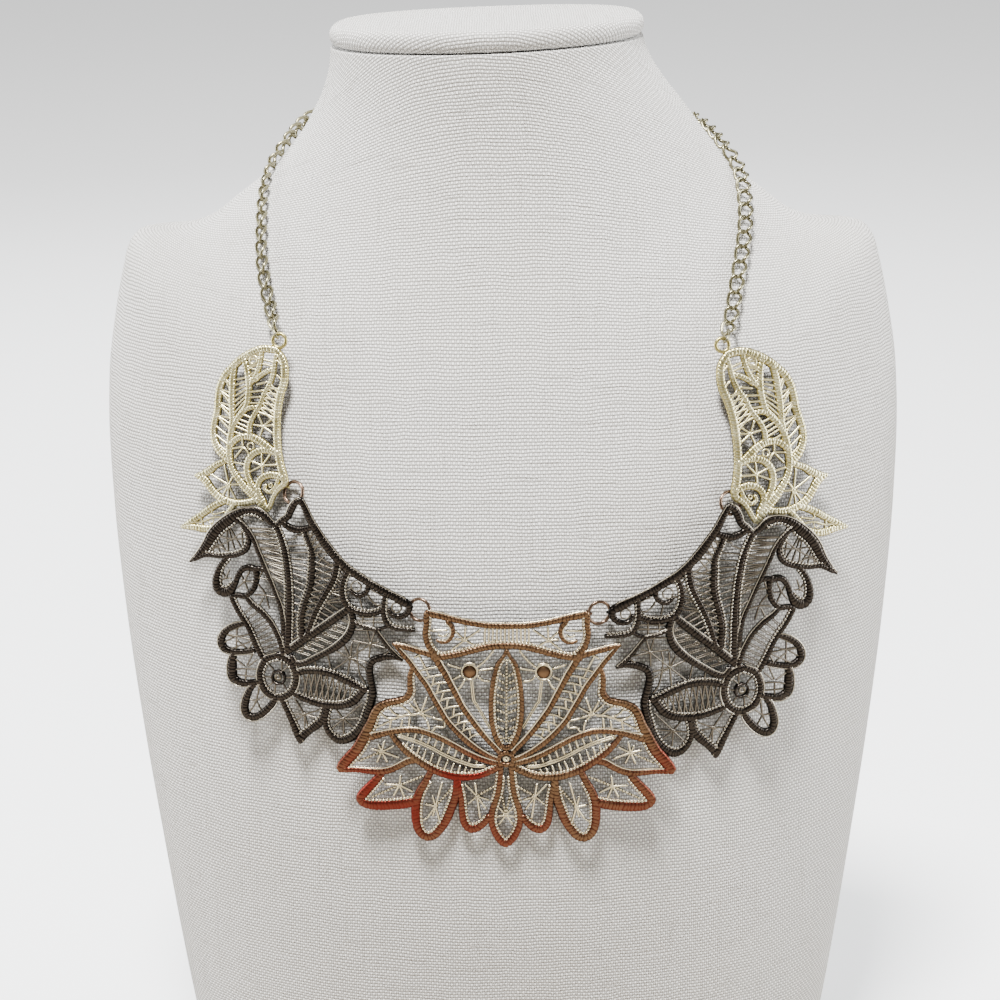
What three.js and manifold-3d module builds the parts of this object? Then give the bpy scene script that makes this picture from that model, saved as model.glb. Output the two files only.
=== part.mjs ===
// A bib necklace of five cast filigree plates on a chain, worn by a linen-covered neck bust.
// Millimetres, +Z up, the front of the bust towards -Y, the base of the bust on Z = 0.
import * as THREE from "three";
import { mergeVertices } from "three/addons/utils/BufferGeometryUtils.js";
import Module from "manifold-3d";

const wasm = await Module();
wasm.setup();
const { Manifold, Mesh } = wasm;

// ---- driving dimensions -------------------------------------------------------------------
const DEPTH_SHIFT = 16.77; // brings the origin under the middle of the whole
const PLATE_THICKNESS = 1.2;
const RIB_STEP = 1.2; // distance between the points tried along a rib
const RIB_TOLERANCE = 0.28; // a point nearer than this to its neighbours' line is left out
const TURN_SHARE = 0.85; // how much of a tight turn's radius a rib may fill
const LINK = { length: 6.15, width: 4.2, wire: 0.85, twist: 0.65, pitch: 4.85 };
const CHAIN_LIFT = 1.65; // chain centre above the cloth
const NAPE_LIFT = 3.2; // the same where the clasp lies
const NAPE_FROM = 140; // turn in degrees from which the chain rises to the clasp
const WAY_POINTS = 48; // points along a chain's way
const CAST_LOOP = { radius: 1.85, wire: 1.0 };
const CONNECTOR = { halfLength: 2.35, halfWidth: 1.3, wire: 0.7 };
const HANG_GAP = 0.25; // play between the cast loop, the connector and the first link
const JUMP_RING_WIRE = 0.74;
const BAIL = { radius: 0.9, wire: 0.5, depth: 0.68 };
const CLASP = {
  radius: 1.6,
  shortestHalf: 6.5,
  loop: { radius: 1.5, wire: 0.8 },
  loopOffset: 0.4, // from a chain's last bar to the middle of the loop round it
  // [share of the barrel's length, share of its radius]
  profile: [
    [-0.01, 0], [0.02, 0.45], [0.1, 0.85], [0.18, 1], [0.82, 1], [0.9, 0.85], [0.98, 0.45], [1.01, 0],
  ],
};
const CAP_GAP = 0.3;
const CAP_HEIGHT = 5.9;
// The cap's soft rim from the top down: [share drawn in to the middle, share of its height]
const CAP_PROFILE = [[0.1, 1], [0.045, 0.95], [0.015, 0.82], [0, 0.55], [0, 0.12], [0.02, 0]];
const BUST_SEGMENTS = 40;
const SHOULDER_ROW = 12; // rows above this one curve more and get a row between
const BACK_FULLNESS = 0.85; // below 1 the back is squarer than an ellipse
const BACK_FLATNESS = 0.7;
const RIM_TILT = 0.008; // side slope of the neck for each millimetre that it leans

// The bust, from its rim down to its base: one row per level.
// [half width, side z, side y, front y, front z, back y, back z, lean]
const BUST_ROWS = [
  [44.0, 312.2, 5, -30.0, 312.2, 40.0, 312.2, -3.5],
  [45.4, 306.5, 5, -30.4, 306.0, 40.0, 306.5, -2.7],
  [48.3, 300.5, 5, -31.0, 299.0, 40.0, 300.0, -1.4],
  [52.5, 294.0, 5, -32.3, 289.5, 40.0, 292.5, 0.0],
  [58.0, 286.0, 4, -35.0, 277.0, 39.5, 283.5, 0.8],
  [67.0, 276.0, 3, -40.0, 261.0, 38.0, 272.0, 0.6],
  [75.5, 269.3, 2, -45.0, 248.0, 36.0, 263.0, 0.3],
  [84.0, 263.3, 1, -50.0, 236.0, 34.0, 255.0, 0],
  [91.0, 261.4, 0, -55.0, 223.0, 32.0, 247.0, 0],
  [98.0, 261.2, 0, -59.5, 210.0, 30.0, 240.0, 0],
  [103.2, 260.4, 0, -63.5, 198.0, 29.0, 232.0, 0],
  [106.6, 257.0, 0, -66.5, 187.5, 28.0, 224.0, 0],
  [108.6, 250.0, -1, -69.0, 177.0, 27.0, 214.0, 0],
  [111.2, 238.0, -2, -71.0, 165.0, 26.0, 202.0, 0],
  [113.6, 222.0, -4, -72.8, 151.0, 25.0, 186.0, 0],
  [114.4, 204.0, -6, -74.0, 136.0, 24.0, 168.0, 0],
  [113.8, 182.0, -9, -75.0, 119.0, 23.0, 148.0, 0],
  [111.6, 150.0, -13, -75.0, 97.0, 22.0, 121.0, 0],
  [108.2, 115.0, -16, -74.3, 75.0, 22.0, 94.0, 0],
  [104.4, 82.0, -18, -73.0, 54.0, 22.0, 68.0, 0],
  [100.6, 50.0, -19, -71.5, 33.0, 22.0, 42.0, 0],
  [97.0, 24.0, -20, -70.0, 16.0, 22.0, 20.0, 0],
  [93.2, 0.0, -20, -68.5, 0.0, 22.0, 0.0, 0],
];

// Where each plate sits: a point on its back, the way it faces, its bend and its turn in plane.
const SEATS = {
  centre: {
    at: [-0.2, -76.8, 124.6], yaw: -0.4, lean: 1.5,
    bend: 437, bendUp: 1110, roll: -0.8, mirror: 1, scale: 1.005,
  },
  sideLeft: {
    at: [-63.7, -66.7, 148.5], yaw: -13.1, lean: 4.3,
    bend: 415, bendUp: 874, roll: -1.1, mirror: 1, scale: 0.995,
  },
  sideRight: {
    at: [66.2, -65.9, 142.8], yaw: 15.3, lean: 3.1,
    bend: 352, bendUp: 920, roll: -3.0, mirror: -1, scale: 1.034,
  },
  endLeft: {
    at: [-68.8, -53.4, 215.5], yaw: -16.1, lean: 15.5,
    bend: 180, bendUp: 386, roll: -0.4, mirror: 1, scale: 1.0,
  },
  endRight: {
    at: [71.1, -53.6, 212.6], yaw: 17.6, lean: 14.3,
    bend: 158, bendUp: 388, roll: 6.5, mirror: -1, scale: 1.069,
  },
};

// The four jump rings: where each passes behind the corners of its two plates.
const JOINTS = {
  ring_end_side_left: { endLeft: [11.6, -14.2], sideLeft: [6.9, 50.8] },
  ring_end_side_right: { endRight: [10.7, -13.0], sideRight: [8.0, 49.2] },
  ring_side_centre_left: { sideLeft: [37.9, 23.3], centre: [-20.6, 44.7] },
  ring_side_centre_right: { sideRight: [38.4, 23.3], centre: [21.8, 44.9] },
};

// The centre of the cast loop above an end plate, in its own plane.
const LOOP_AT = [7.0, 24.6];

// Each chain's way from its end plate to the nape: [bust level, turn from the front in degrees].
const CHAIN_WAY = {
  endLeft: [
    [7.65, -44.9], [6.95, -50.8], [6.39, -56.5], [5.81, -63.4], [5.21, -73.2], [4.73, -83.4],
    [4.3, -90], [3.8, -105], [3.5, -130], [3.4, -155], [3.4, -180],
  ],
  endRight: [
    [7.95, 43.0], [7.15, 48.8], [6.57, 54.7], [6.01, 62.2], [5.35, 72.1], [4.81, 83.8],
    [4.35, 90], [3.8, 105], [3.5, 130], [3.4, 155], [3.4, 180],
  ],
};

// Left half of the centre plate; the right half mirrors it. [across, up, width] along each rib.
const CENTRE_RIBS = {
  topBar: [
    [0, 41.8, 1.7], [-5, 41.9, 1.7], [-10, 42.6, 1.7], [-14, 43.5, 1.8], [-18, 44.4, 2],
    [-21.2, 45, 2],
  ],
  corner: [
    [-21.4, 44.6, 1.8], [-21.4, 42, 1.6], [-21.7, 39.5, 1.6], [-21.3, 37.2, 1.7],
    [-20.3, 35, 1.8], [-18.6, 33.2, 2],
  ],
  scroll: [
    [-15.9, 43, 1.2], [-14.6, 41.6, 1.2], [-14.3, 40, 1.2], [-14.7, 38.6, 1.2],
    [-15.7, 37.5, 1.1], [-17.1, 37.1, 1], [-18.6, 37.6, 0.8],
  ],
  bow: [
    [0, 36.3, 1.9], [-3, 36.2, 1.9], [-6, 35.7, 1.9], [-9, 34.9, 1.8], [-12, 34, 1.8],
    [-15, 33.3, 1.8], [-17.5, 32.9, 1.9], [-19.6, 32.8, 2],
  ],
  wing: [[-19.6, 33.4, 2], [-23.5, 34.4, 1.6], [-27, 35.4, 1.6], [-30.3, 36.3, 0.8]],
  outerRay: [
    [-30.2, 36.4, 0.8], [-28.4, 34.3, 1.3], [-26, 31.3, 1.5], [-23.6, 27.8, 1.5],
    [-21.5, 24.8, 1.5], [-19.5, 21, 1.5], [-17.4, 17.2, 1.5], [-16, 14.8, 1.5],
    [-13.7, 12, 1.6], [-12, 10.2, 1.7], [-9.8, 8.2, 1.7], [-7.2, 6.3, 1.5],
    [-4.5, 4.7, 1.4], [-2.4, 3.8, 1.4],
  ],
  innerRay: [
    [-19, 32.6, 2], [-17.6, 30, 1.9], [-16.4, 28, 1.8], [-14.9, 25, 1.7], [-13.4, 22, 1.7],
    [-11.9, 19, 1.6], [-10.3, 16.5, 1.6], [-8.6, 14, 1.6], [-6.9, 11.7, 1.6],
    [-5.2, 9.6, 1.5], [-3.4, 7.6, 1.5], [-1.8, 5.8, 1.4],
  ],
  lens: [
    [0, 34.9, 1.2], [-0.9, 33.2, 0.9], [-2.3, 31.2, 1.1], [-3, 28.8, 1.2], [-3.6, 26, 1.3],
    [-4.05, 22, 1.3], [-4.15, 18, 1.4], [-3.95, 15, 1.4], [-3.4, 12, 1.5],
    [-2.5, 9.5, 1.6], [-1.3, 7.6, 1.6], [0, 7, 1.6],
  ],
  side: [
    [-25.2, 29.8, 1.2], [-25.85, 27.5, 1.5], [-25.9, 25, 1.6], [-25.9, 22.8, 1.8],
    [-27.1, 21, 1.8], [-29, 20.2, 1.8], [-32, 19.4, 2], [-34.2, 18.2, 2.2],
    [-35.5, 16.4, 2.3], [-36.4, 14, 2.4], [-37.6, 11.4, 2.7], [-39, 8.4, 3],
    [-40.6, 5.6, 3], [-42.6, 3.2, 3], [-44.4, 1, 2.9], [-45.2, -0.1, 2.4],
  ],
  tail: [
    [-45.2, -0.5, 1.7], [-41, -0.3, 1.6], [-37.4, -0.5, 1.8], [-34.4, -0.6, 2],
    [-31.6, 0, 2], [-29, 1.3, 1.9], [-26.6, 2.7, 2], [-24.4, 3.2, 2],
  ],
  eyeTop: [
    [-37.8, 9.2, 2.4], [-34.4, 10.2, 2], [-31, 11.2, 1.7], [-27, 11.8, 1.6],
    [-23.5, 11.7, 1.6], [-20.5, 10.8, 1.6], [-17, 9.3, 1.6], [-13.5, 7.3, 1.6],
    [-10, 5.3, 1.7], [-6.5, 3.7, 1.7], [-3.4, 2.8, 1.6], [-1.4, 2.4, 1.4],
  ],
  eyeBottom: [
    [-31, 10.2, 1.4], [-29.3, 7.9, 1.6], [-26.5, 5, 1.9], [-23.5, 2.7, 2],
    [-20.5, 0.8, 2.1], [-17.5, -0.5, 2.1], [-14, -1.4, 2.2], [-10.5, -1.5, 2.1],
    [-7, -0.9, 1.9], [-4, 0.4, 1.9], [-1.8, 1.6, 1.8],
  ],
  lobe: [
    [-34, -1.4, 2], [-35.6, -3.4, 2.3], [-37.8, -5.9, 2.5], [-39.5, -8.1, 2.6],
    [-39.6, -9.4, 2.4], [-38, -10.4, 2.6], [-35, -10.6, 2.9], [-31, -10.3, 2.9],
    [-27.5, -9.8, 2.9], [-24.6, -9, 2.6],
  ],
  petalOuter: [
    [-20.3, 0, 1.8], [-21.8, -3, 2], [-23.4, -6, 2.2], [-24.4, -9, 2.5], [-24.6, -12, 2.5],
    [-24.5, -15, 2.4], [-23.9, -17.4, 2.4], [-22.8, -19, 2.4], [-21.3, -19.6, 2.4],
    [-19.6, -19, 2.4], [-17.9, -17.1, 2.4], [-16.2, -14.3, 2.4], [-15, -11.2, 2.4],
    [-13.9, -8, 2.3], [-13.5, -5, 2], [-13.4, -2, 1.8],
  ],
  petalInner: [
    [-13.1, -2.2, 1.5], [-12.7, -5, 1.7], [-12.2, -8, 1.7], [-12, -11, 1.8],
    [-11.6, -14.2, 2], [-10.8, -16, 2.2], [-9.4, -16.9, 2.5], [-7.6, -16.4, 2.3],
    [-5.9, -15, 2], [-4.6, -13.2, 1.8],
  ],
  petalMid: [
    [-1.3, 1.6, 1.5], [-1.6, -1.5, 1.5], [-1.9, -4.5, 1.6], [-2.4, -7, 1.6],
    [-3.2, -9.5, 1.7], [-3.8, -12, 1.8], [-3.9, -14.5, 1.8], [-3.3, -17, 1.9],
    [-2.2, -19.2, 2.1], [-1, -20.7, 2.2], [0, -21.3, 2.2],
  ],
  rosette: [
    [0, 5.8, 1.4], [-1.3, 5.2, 1.3], [-2, 3.9, 1.3], [-1.4, 2.6, 1.3], [0, 2.1, 1.4],
  ],
};

// Side plate as worn on the right shoulder; the other one mirrors it. [across, up, width] along each rib.
const SIDE_RIBS = {
  topLoop: [
    [0.8, 43.5, 1.3], [2.4, 45, 1.6], [4, 46.3, 1.6], [4.9, 48.4, 1.8], [6, 50.2, 1.6],
    [7.4, 50.9, 1.6],
  ],
  innerBar: [
    [7.3, 51, 1.6], [8.6, 48.8, 1.7], [10.1, 45.8, 1.9], [12, 42.9, 2], [14.2, 39.8, 2.2],
    [17.2, 36.3, 2.2], [20.3, 33.4, 2.2], [23.8, 31.3, 2.1], [28, 29, 1.9],
    [32.5, 26.8, 2], [36, 25.1, 2.3], [37.9, 23.9, 1.9], [37.6, 22.2, 1.6],
    [36.3, 21, 1.5], [34.6, 20.7, 1.3], [33.1, 21.3, 1.1], [32.5, 22.6, 0.9],
  ],
  holeBar: [
    [2.2, 44.6, 1.5], [4.2, 43.3, 1.8], [6.5, 42.7, 1.8], [9, 43.2, 1.7],
    [11.2, 44.2, 1.6],
  ],
  hook: [
    [31.3, 27, 1.2], [31, 24.6, 1.2], [30.9, 22.6, 1.3], [31.1, 20.7, 1.4],
    [31.9, 18.9, 1.4], [33.4, 17.7, 1.3], [36, 17.3, 1.2], [39.4, 17.2, 1.1],
  ],
  pocket: [
    [20.9, 32.6, 1.4], [19.7, 29.6, 1.4], [19.4, 26.8, 1.6], [19.9, 24.3, 1.6],
    [21.4, 22.2, 1.6], [24, 21.2, 1.5], [27, 21, 1.5], [29.7, 21.7, 1.5], [31, 22.7, 1.3],
  ],
  curl: [
    [26.3, 29.8, 1.3], [26.5, 27.8, 1.3], [25.3, 26.2, 1.3], [23.4, 25.8, 1.1],
    [21.8, 27.1, 0.9],
  ],
  feather4: [
    [17.9, 35.4, 1.6], [17.6, 32.8, 1.7], [16.9, 29.8, 1.7], [15.3, 26.6, 1.6],
    [13.7, 23.6, 1.6], [12.2, 20.6, 1.6], [11, 17.6, 1.6], [10, 14.4, 1.6],
    [9.4, 12.8, 1.6],
  ],
  feather3: [
    [8.6, 43, 1.1], [9.6, 40.2, 1.1], [10.9, 37, 1.3], [11, 34, 1.6], [11, 31, 1.7],
    [10.8, 28.5, 1.7], [10.2, 26, 1.6], [9.3, 23.2, 1.6], [8.6, 20.6, 1.6], [8.2, 18, 1.6],
    [8.3, 15.4, 1.6], [8.4, 12.2, 1.6],
  ],
  feather2: [
    [0.6, 43.5, 1.4], [1.8, 41, 1.4], [2.7, 38.5, 1.5], [3.4, 36, 1.5], [3.9, 33, 1.6],
    [4.3, 30, 1.6], [4.5, 27, 1.6], [4.6, 24, 1.7], [4.6, 21, 1.8], [4.5, 18, 2],
    [4.4, 15, 2], [4.4, 12, 2], [4.1, 9, 1.9],
  ],
  feather1: [
    [-11.4, 44.6, 1.4], [-9, 43.1, 1.2], [-7.1, 41.2, 1.2], [-5.6, 38.8, 1.3],
    [-4.6, 36.4, 1.3], [-3.4, 33.8, 1.3], [-2.2, 31.2, 1.3], [-1.1, 28.8, 1.3],
    [-0.1, 26.6, 1.2], [0.9, 24.2, 1.2], [2, 21.6, 1.3], [2.7, 18.8, 1.4], [3, 16, 1.5],
    [3.2, 13, 1.5],
  ],
  crest: [
    [-24, 31.2, 0.6], [-21.6, 33.3, 1.6], [-19.2, 36.2, 2.4], [-17.5, 39.2, 2.8],
    [-15.4, 41.8, 2.8], [-12.8, 43.9, 2.8], [-10.6, 45.7, 2.2], [-8, 46.9, 1.7],
    [-5, 47, 1.9], [-2.9, 46, 2], [-1.2, 44.5, 1.8], [0.5, 43.4, 1.5],
  ],
  leafLow: [
    [-22.8, 31.8, 0.9], [-19.5, 33.5, 1.3], [-15.8, 33.5, 1.2], [-12.6, 33.9, 1.4],
    [-10, 34.6, 1.4], [-8.1, 35.8, 1.4], [-7.1, 37.8, 1.2], [-7.2, 40, 1], [-8.8, 42.6, 1],
  ],
  ear: [
    [-13, 33.8, 1.4], [-15, 31.2, 1.5], [-16.1, 28.6, 1.9], [-16.4, 26.1, 2.3],
    [-15.8, 24.2, 2.5], [-14.2, 23.5, 2.6], [-12.4, 24.1, 2.4], [-11, 26.2, 1.6],
    [-10.1, 28.6, 1.5], [-8.8, 30.4, 1.6], [-7, 31.1, 1.6], [-5.4, 30.7, 1.6],
    [-4.7, 29.3, 1.6], [-4.9, 27.4, 1.5], [-5.5, 25.5, 1.5], [-6.7, 23.9, 1.5],
    [-8.2, 22.9, 1.5], [-10.2, 23, 1.4], [-12, 22.5, 1.4],
  ],
  earLink: [[-5.4, 30.9, 1.3], [-3.8, 31, 1.3], [-2.2, 30.8, 1.3]],
  ladderLeft: [
    [-11.9, 22.2, 1.5], [-10.2, 18.9, 1.5], [-8.3, 16.2, 1.5], [-6.7, 13.6, 1.5],
    [-5.6, 11.2, 1.6], [-4.4, 8.6, 1.6], [-3, 6, 1.6],
  ],
  ladderRight: [
    [-7.4, 22.4, 1.4], [-6, 21, 1.5], [-3.6, 19.3, 1.6], [-1.7, 17.6, 1.5],
    [-0.1, 15.6, 1.5], [1.1, 13.4, 1.5], [2.1, 11.2, 1.5], [2.8, 8.8, 1.5], [3, 6.9, 1.4],
  ],
  scallop1: [
    [-7.4, 15.4, 1.2], [-10.4, 14.6, 1.5], [-12.9, 13.1, 1.7], [-14.5, 11.1, 1.8],
    [-14.8, 9, 1.9], [-13.6, 7.3, 1.8], [-11.2, 6.8, 1.5], [-8.5, 7.1, 1.4],
    [-5.2, 7.9, 1.5],
  ],
  scallop2: [
    [-11.3, 6.4, 1.4], [-11.7, 4, 2.2], [-11.8, 1.6, 2.5], [-11.4, -0.6, 2.3],
    [-9.8, -1.8, 2], [-7.6, -1.9, 1.7], [-5, -1.4, 1.6], [-3.2, -0.8, 1.4],
  ],
  scallop3: [
    [-5, -1.8, 1.4], [-6.6, -3.8, 1.6], [-7.7, -6.7, 1.9], [-8.1, -9.4, 1.9],
    [-7, -11.4, 1.9], [-5, -11.5, 1.9], [-2.8, -10.2, 2], [-0.6, -7.9, 2],
    [0.8, -5.8, 1.8],
  ],
  leafRungTop: [
    [4, 8.2, 1.8], [6.6, 10.3, 1.9], [9.5, 12.6, 1.9], [12.5, 14.9, 1.9],
    [15.5, 17.2, 1.9], [18.4, 19.5, 1.9], [21.2, 21.7, 1.8],
  ],
  leafRungLow: [
    [5.4, 7, 1.4], [6.9, 5.2, 1.5], [9.5, 5.7, 1.6], [12.5, 7.4, 1.6], [15.5, 9.2, 1.7],
    [18.4, 11.2, 1.9], [20.8, 13.6, 2], [22.2, 16.2, 1.8], [22.6, 18.8, 1.6],
    [22.1, 21.3, 1.5],
  ],
  leafNetTop: [
    [6.4, 2, 1.5], [9, 3.1, 1.7], [12, 3.5, 1.7], [15, 3.4, 1.8], [18, 2.7, 1.8],
    [21, 1.5, 1.9], [24, 0.2, 1.7], [26.4, -0.9, 1.5],
  ],
  leafNetLow: [
    [6.2, -3.6, 1.5], [9, -4.7, 1.7], [12, -5.6, 1.8], [15, -6, 1.9], [18, -6, 2],
    [21, -5.4, 2], [23.4, -4, 2], [24.9, -2, 1.9], [26.3, -0.4, 1.8],
  ],
  bulge: [
    [36.3, 8.7, 0.8], [33, 9.3, 1.7], [30, 8.6, 1.8], [27.9, 7.4, 1.9], [27.3, 5.2, 1.9],
    [27.6, 2.6, 1.9], [28.2, 0.2, 1.9], [28.4, -1.8, 2], [28, -4.2, 2], [27.2, -7, 2.2],
    [26.3, -9.8, 2.2], [24.7, -12.6, 2.2], [22.5, -14.8, 2.2], [20, -15.9, 2.2],
    [18, -15.6, 2], [16.2, -14, 1.7], [15.2, -11.6, 1.5], [15.3, -9, 1.5], [16, -6.4, 1.4],
  ],
  edgeWire: [
    [22.6, 18.4, 0.9], [25.6, 17.3, 0.9], [28.7, 16.5, 1], [30.4, 14.6, 1.1],
    [32.3, 12.2, 1.1], [34.3, 10.2, 1.1], [36.3, 8.6, 0.9],
  ],
  edgeLink: [[28.5, 16.6, 0.9], [30.4, 17, 0.9], [32.6, 18.1, 0.9]],
  tipOuter: [
    [2.4, -4.8, 1.6], [3.9, -8, 1.6], [5.3, -11, 1.7], [6.6, -14, 2], [7.6, -16.4, 1.9],
    [8, -17.6, 1.2],
  ],
  tipInner: [
    [8, -17.5, 1.2], [8.9, -15.6, 2], [10.8, -13.8, 1.9], [12.9, -12, 2.1],
    [14.4, -10, 1.8], [15, -8, 1.6], [15.2, -6.2, 1.5],
  ],
  medallion: [
    [1.65, 7.05, 1.7], [5.3, 5.3, 1.7], [6.9, 0.95, 1.7], [5.3, -3.4, 1.7],
    [1.65, -5.15, 1.7], [-2.05, -3.4, 1.7], [-3.6, 0.95, 1.7], [-2.05, 5.3, 1.7],
    [1.65, 7.05, 1.7],
  ],
  hub: [
    [1.7, 2.55, 0.7], [3, 2, 0.7], [3.55, 0.7, 0.7], [3, -0.6, 0.7], [1.7, -1.15, 0.7],
    [0.4, -0.6, 0.7], [-0.15, 0.7, 0.7], [0.4, 2, 0.7], [1.7, 2.55, 0.7],
  ],
  hubSpokeTop: [[2.6, 2.4, 0.7], [2.9, 6.3, 0.7]],
  hubSpokeLeft: [[0, 0.8, 0.7], [-3.2, 0.2, 0.7]],
  hubSpokeLow: [[1.2, -1, 0.7], [0.8, -4.8, 0.7]],
  hubSpokeRight: [[3.4, 0.8, 0.7], [6.5, 1.3, 0.7]],
};

// End plate as worn on the right shoulder; the other one mirrors it. [across, up, width] along each rib.
const END_RIBS = {
  rimRight: [
    [6.2, 22, 1.6], [8.3, 19.8, 1.7], [9.2, 16.8, 1.9], [9.2, 13.5, 1.9], [8.5, 10.5, 1.9],
    [8.1, 6.5, 1.8], [8.1, 2.5, 1.8], [8.4, -1.5, 1.8], [9, -5.5, 1.8], [9.9, -9, 1.9],
    [11, -12, 1.9], [11.2, -13.6, 1.6], [9.6, -15.3, 1.3], [8.4, -17.4, 1.1],
    [7.6, -19.6, 1.1], [7, -20.9, 1],
  ],
  rimLeft: [
    [6.2, 22, 1.7], [3.6, 22.2, 1.8], [1, 21.6, 1.9], [-1.6, 20.2, 2], [-3.9, 18.5, 2],
    [-6, 16.3, 2], [-7.8, 14, 2], [-8.9, 11.2, 2], [-9.2, 8, 1.9], [-9.2, 4.8, 1.9],
    [-9.7, 2, 1.8], [-10, -0.8, 1.7], [-9.6, -3.2, 1.8], [-8.6, -5.2, 1.9],
    [-7.1, -6.9, 1.9], [-5.2, -8, 1.8],
  ],
  ribB: [
    [-5.1, 17.4, 1.6], [-5.4, 14, 1.7], [-5.3, 11, 1.7], [-5.2, 8, 1.7], [-4.9, 5, 1.6],
    [-4.6, 2.5, 1.6], [-4.6, 0, 1.7], [-4.9, -2.5, 1.8], [-5, -5, 1.8], [-4.8, -7.5, 1.7],
    [-4.3, -9.7, 1.6], [-3.2, -11.8, 1.6], [-1.6, -13.7, 1.7], [0, -15.4, 1.9],
    [2, -17, 2], [4, -18.6, 2], [5.8, -20, 1.8], [6.9, -20.9, 1.4],
  ],
  ribC: [
    [-2.8, 19.4, 1.4], [-1.7, 17, 1.5], [-1, 14.5, 1.6], [-0.6, 12, 1.6], [-0.5, 9.5, 1.6],
    [-0.7, 7, 1.6], [-1.5, 5, 1.6], [-2.9, 3.2, 1.5], [-3.9, 1.4, 1.5], [-4.6, -0.6, 1.5],
  ],
  ribD: [
    [2.3, 21.6, 1.1], [2.3, 19.3, 1.1], [1.9, 17, 1.2], [1.2, 14.8, 1.2], [0.2, 12.8, 1.2],
  ],
  ribE: [[6.2, 16.8, 1.2], [4.4, 16.2, 1.3], [2.6, 15, 1.3], [1.2, 13.6, 1.3]],
  ribF: [
    [6.6, 20.8, 1.1], [6.3, 19, 1.1], [6.2, 17, 1.2], [5.9, 14.6, 1.3], [5.1, 12.2, 1.3],
    [4.1, 10.2, 1.3], [3.5, 8.2, 1.3], [2.8, 6.3, 1.4], [1.6, 4.2, 1.3], [0.8, 2.2, 1.3],
    [0.5, 0.4, 1.3], [0.8, -1.4, 1.3],
  ],
  ribG: [[2.6, 6.2, 1.2], [0.9, 6.2, 1.2], [-0.8, 5.6, 1.3]],
  curlTop: [
    [-4.9, -4.6, 1.6], [-3.3, -2.8, 1.6], [-1.4, -1.9, 1.7], [1, -1.8, 1.8],
    [3.4, -2.6, 1.9], [5.4, -3.9, 2], [7.2, -5, 1.9], [8.8, -5.6, 1.6],
  ],
  curl: [
    [8.4, -5.6, 1.4], [6, -5.1, 1.6], [3.8, -5.3, 1.7], [1.8, -6.5, 1.7], [0.6, -8.5, 1.7],
    [0.4, -10.8, 1.6], [1, -13, 1.6], [2.2, -15, 1.6], [3.8, -16.8, 1.6],
    [5.4, -18.8, 1.5],
  ],
  spiral: [
    [10.6, -12.2, 1.4], [8.8, -11.6, 1.6], [6.6, -11.7, 1.7], [4.7, -12.8, 1.6],
    [3.8, -14.8, 1.5], [4.3, -17, 1.5], [5.7, -18.9, 1.5],
  ],
  spiralEye: [
    [9.6, -12.2, 1.1], [8.9, -14.6, 1], [7.4, -16.2, 1], [6, -15.6, 0.9],
    [6.1, -14.4, 0.8],
  ],
  leafTop: [
    [-4.8, -8.2, 1.5], [-6.8, -9.2, 1.5], [-8.8, -10.3, 1.6], [-10.7, -12, 2],
    [-12.6, -13, 1.6], [-14.6, -13.4, 0.7],
  ],
  leafLow: [
    [-14.6, -13.5, 0.7], [-11.9, -14.4, 1.9], [-10.2, -16.2, 1.8], [-8.4, -18, 1.8],
    [-6.1, -19.3, 1.8], [-3.6, -19.9, 1.7], [-1, -19.9, 1.6], [1.4, -19.4, 1.6],
    [3.8, -18.7, 1.6],
  ],
  spurTop: [
    [-5.6, -19.7, 1.6], [-7.8, -20.8, 1.7], [-10.2, -22.4, 1.7], [-12.8, -24.4, 1.6],
    [-15.2, -26.1, 1.6], [-18.2, -27.9, 0.7],
  ],
  spurLow: [
    [-18, -28, 0.7], [-14.6, -27.6, 1.5], [-11.6, -27.8, 1.7], [-8.6, -27.3, 1.7],
    [-6.2, -25.8, 1.6], [-4.8, -23.6, 1.5], [-3.4, -21.4, 1.4], [-2.4, -20, 1.4],
  ],
};

// ---- small helpers --------------------------------------------------------------------------
const vec = (x, y, z) => new THREE.Vector3(x, y, z);
const rad = (degrees) => (degrees * Math.PI) / 180;
const turnOf = (i, count) => (2 * Math.PI * i) / count;

function geometryFrom(points, triangles) {
  const geometry = new THREE.BufferGeometry().setFromPoints(points);
  geometry.setIndex(triangles);
  return geometry;
}

// A closed body of a geometry, ready to be joined to others.
function body(geometry) {
  const bare = geometry.clone();
  bare.deleteAttribute("normal");
  bare.deleteAttribute("uv");
  const merged = mergeVertices(bare);
  return new Manifold(new Mesh({
    numProp: 3,
    vertProperties: merged.attributes.position.array,
    triVerts: new Uint32Array(merged.index.array),
  }));
}

// Joins closed geometries into one geometry that must be a single body.
function join(name, geometries) {
  const joined = Manifold.union(geometries.map(body));
  const pieces = joined.decompose().length;
  if (pieces !== 1) throw new Error(`${name} is ${pieces} bodies`);
  const { numProp, numVert, vertProperties, triVerts } = joined.getMesh();
  const points = Array.from({ length: numVert },
    (_, i) => vec(...vertProperties.slice(i * numProp, i * numProp + 3)));
  return geometryFrom(points, Array.from(triVerts));
}

// A closed skin over a stack of rings of points, each ring wound the same way, with a middle
// point that closes each end.
function loft(rings) {
  const count = rings[0].length;
  const ends = [rings[0], rings[rings.length - 1]].map(middle);
  const firstEnd = rings.length * count;
  const lastRing = firstEnd - count;
  const triangles = [];
  for (let i = 0; i < rings.length - 1; i++) {
    for (let j = 0; j < count; j++) {
      const a = i * count + j;
      const b = i * count + ((j + 1) % count);
      triangles.push(a, a + count, b, b, a + count, b + count);
    }
  }
  for (let j = 0; j < count; j++) {
    const k = (j + 1) % count;
    triangles.push(firstEnd, j, k);
    triangles.push(firstEnd + 1, lastRing + k, lastRing + j);
  }
  return geometryFrom([...rings.flat(), ...ends], triangles);
}

function middle(ring) {
  return ring.reduce((sum, p) => sum.add(p), vec(0, 0, 0)).multiplyScalar(1 / ring.length);
}

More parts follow.
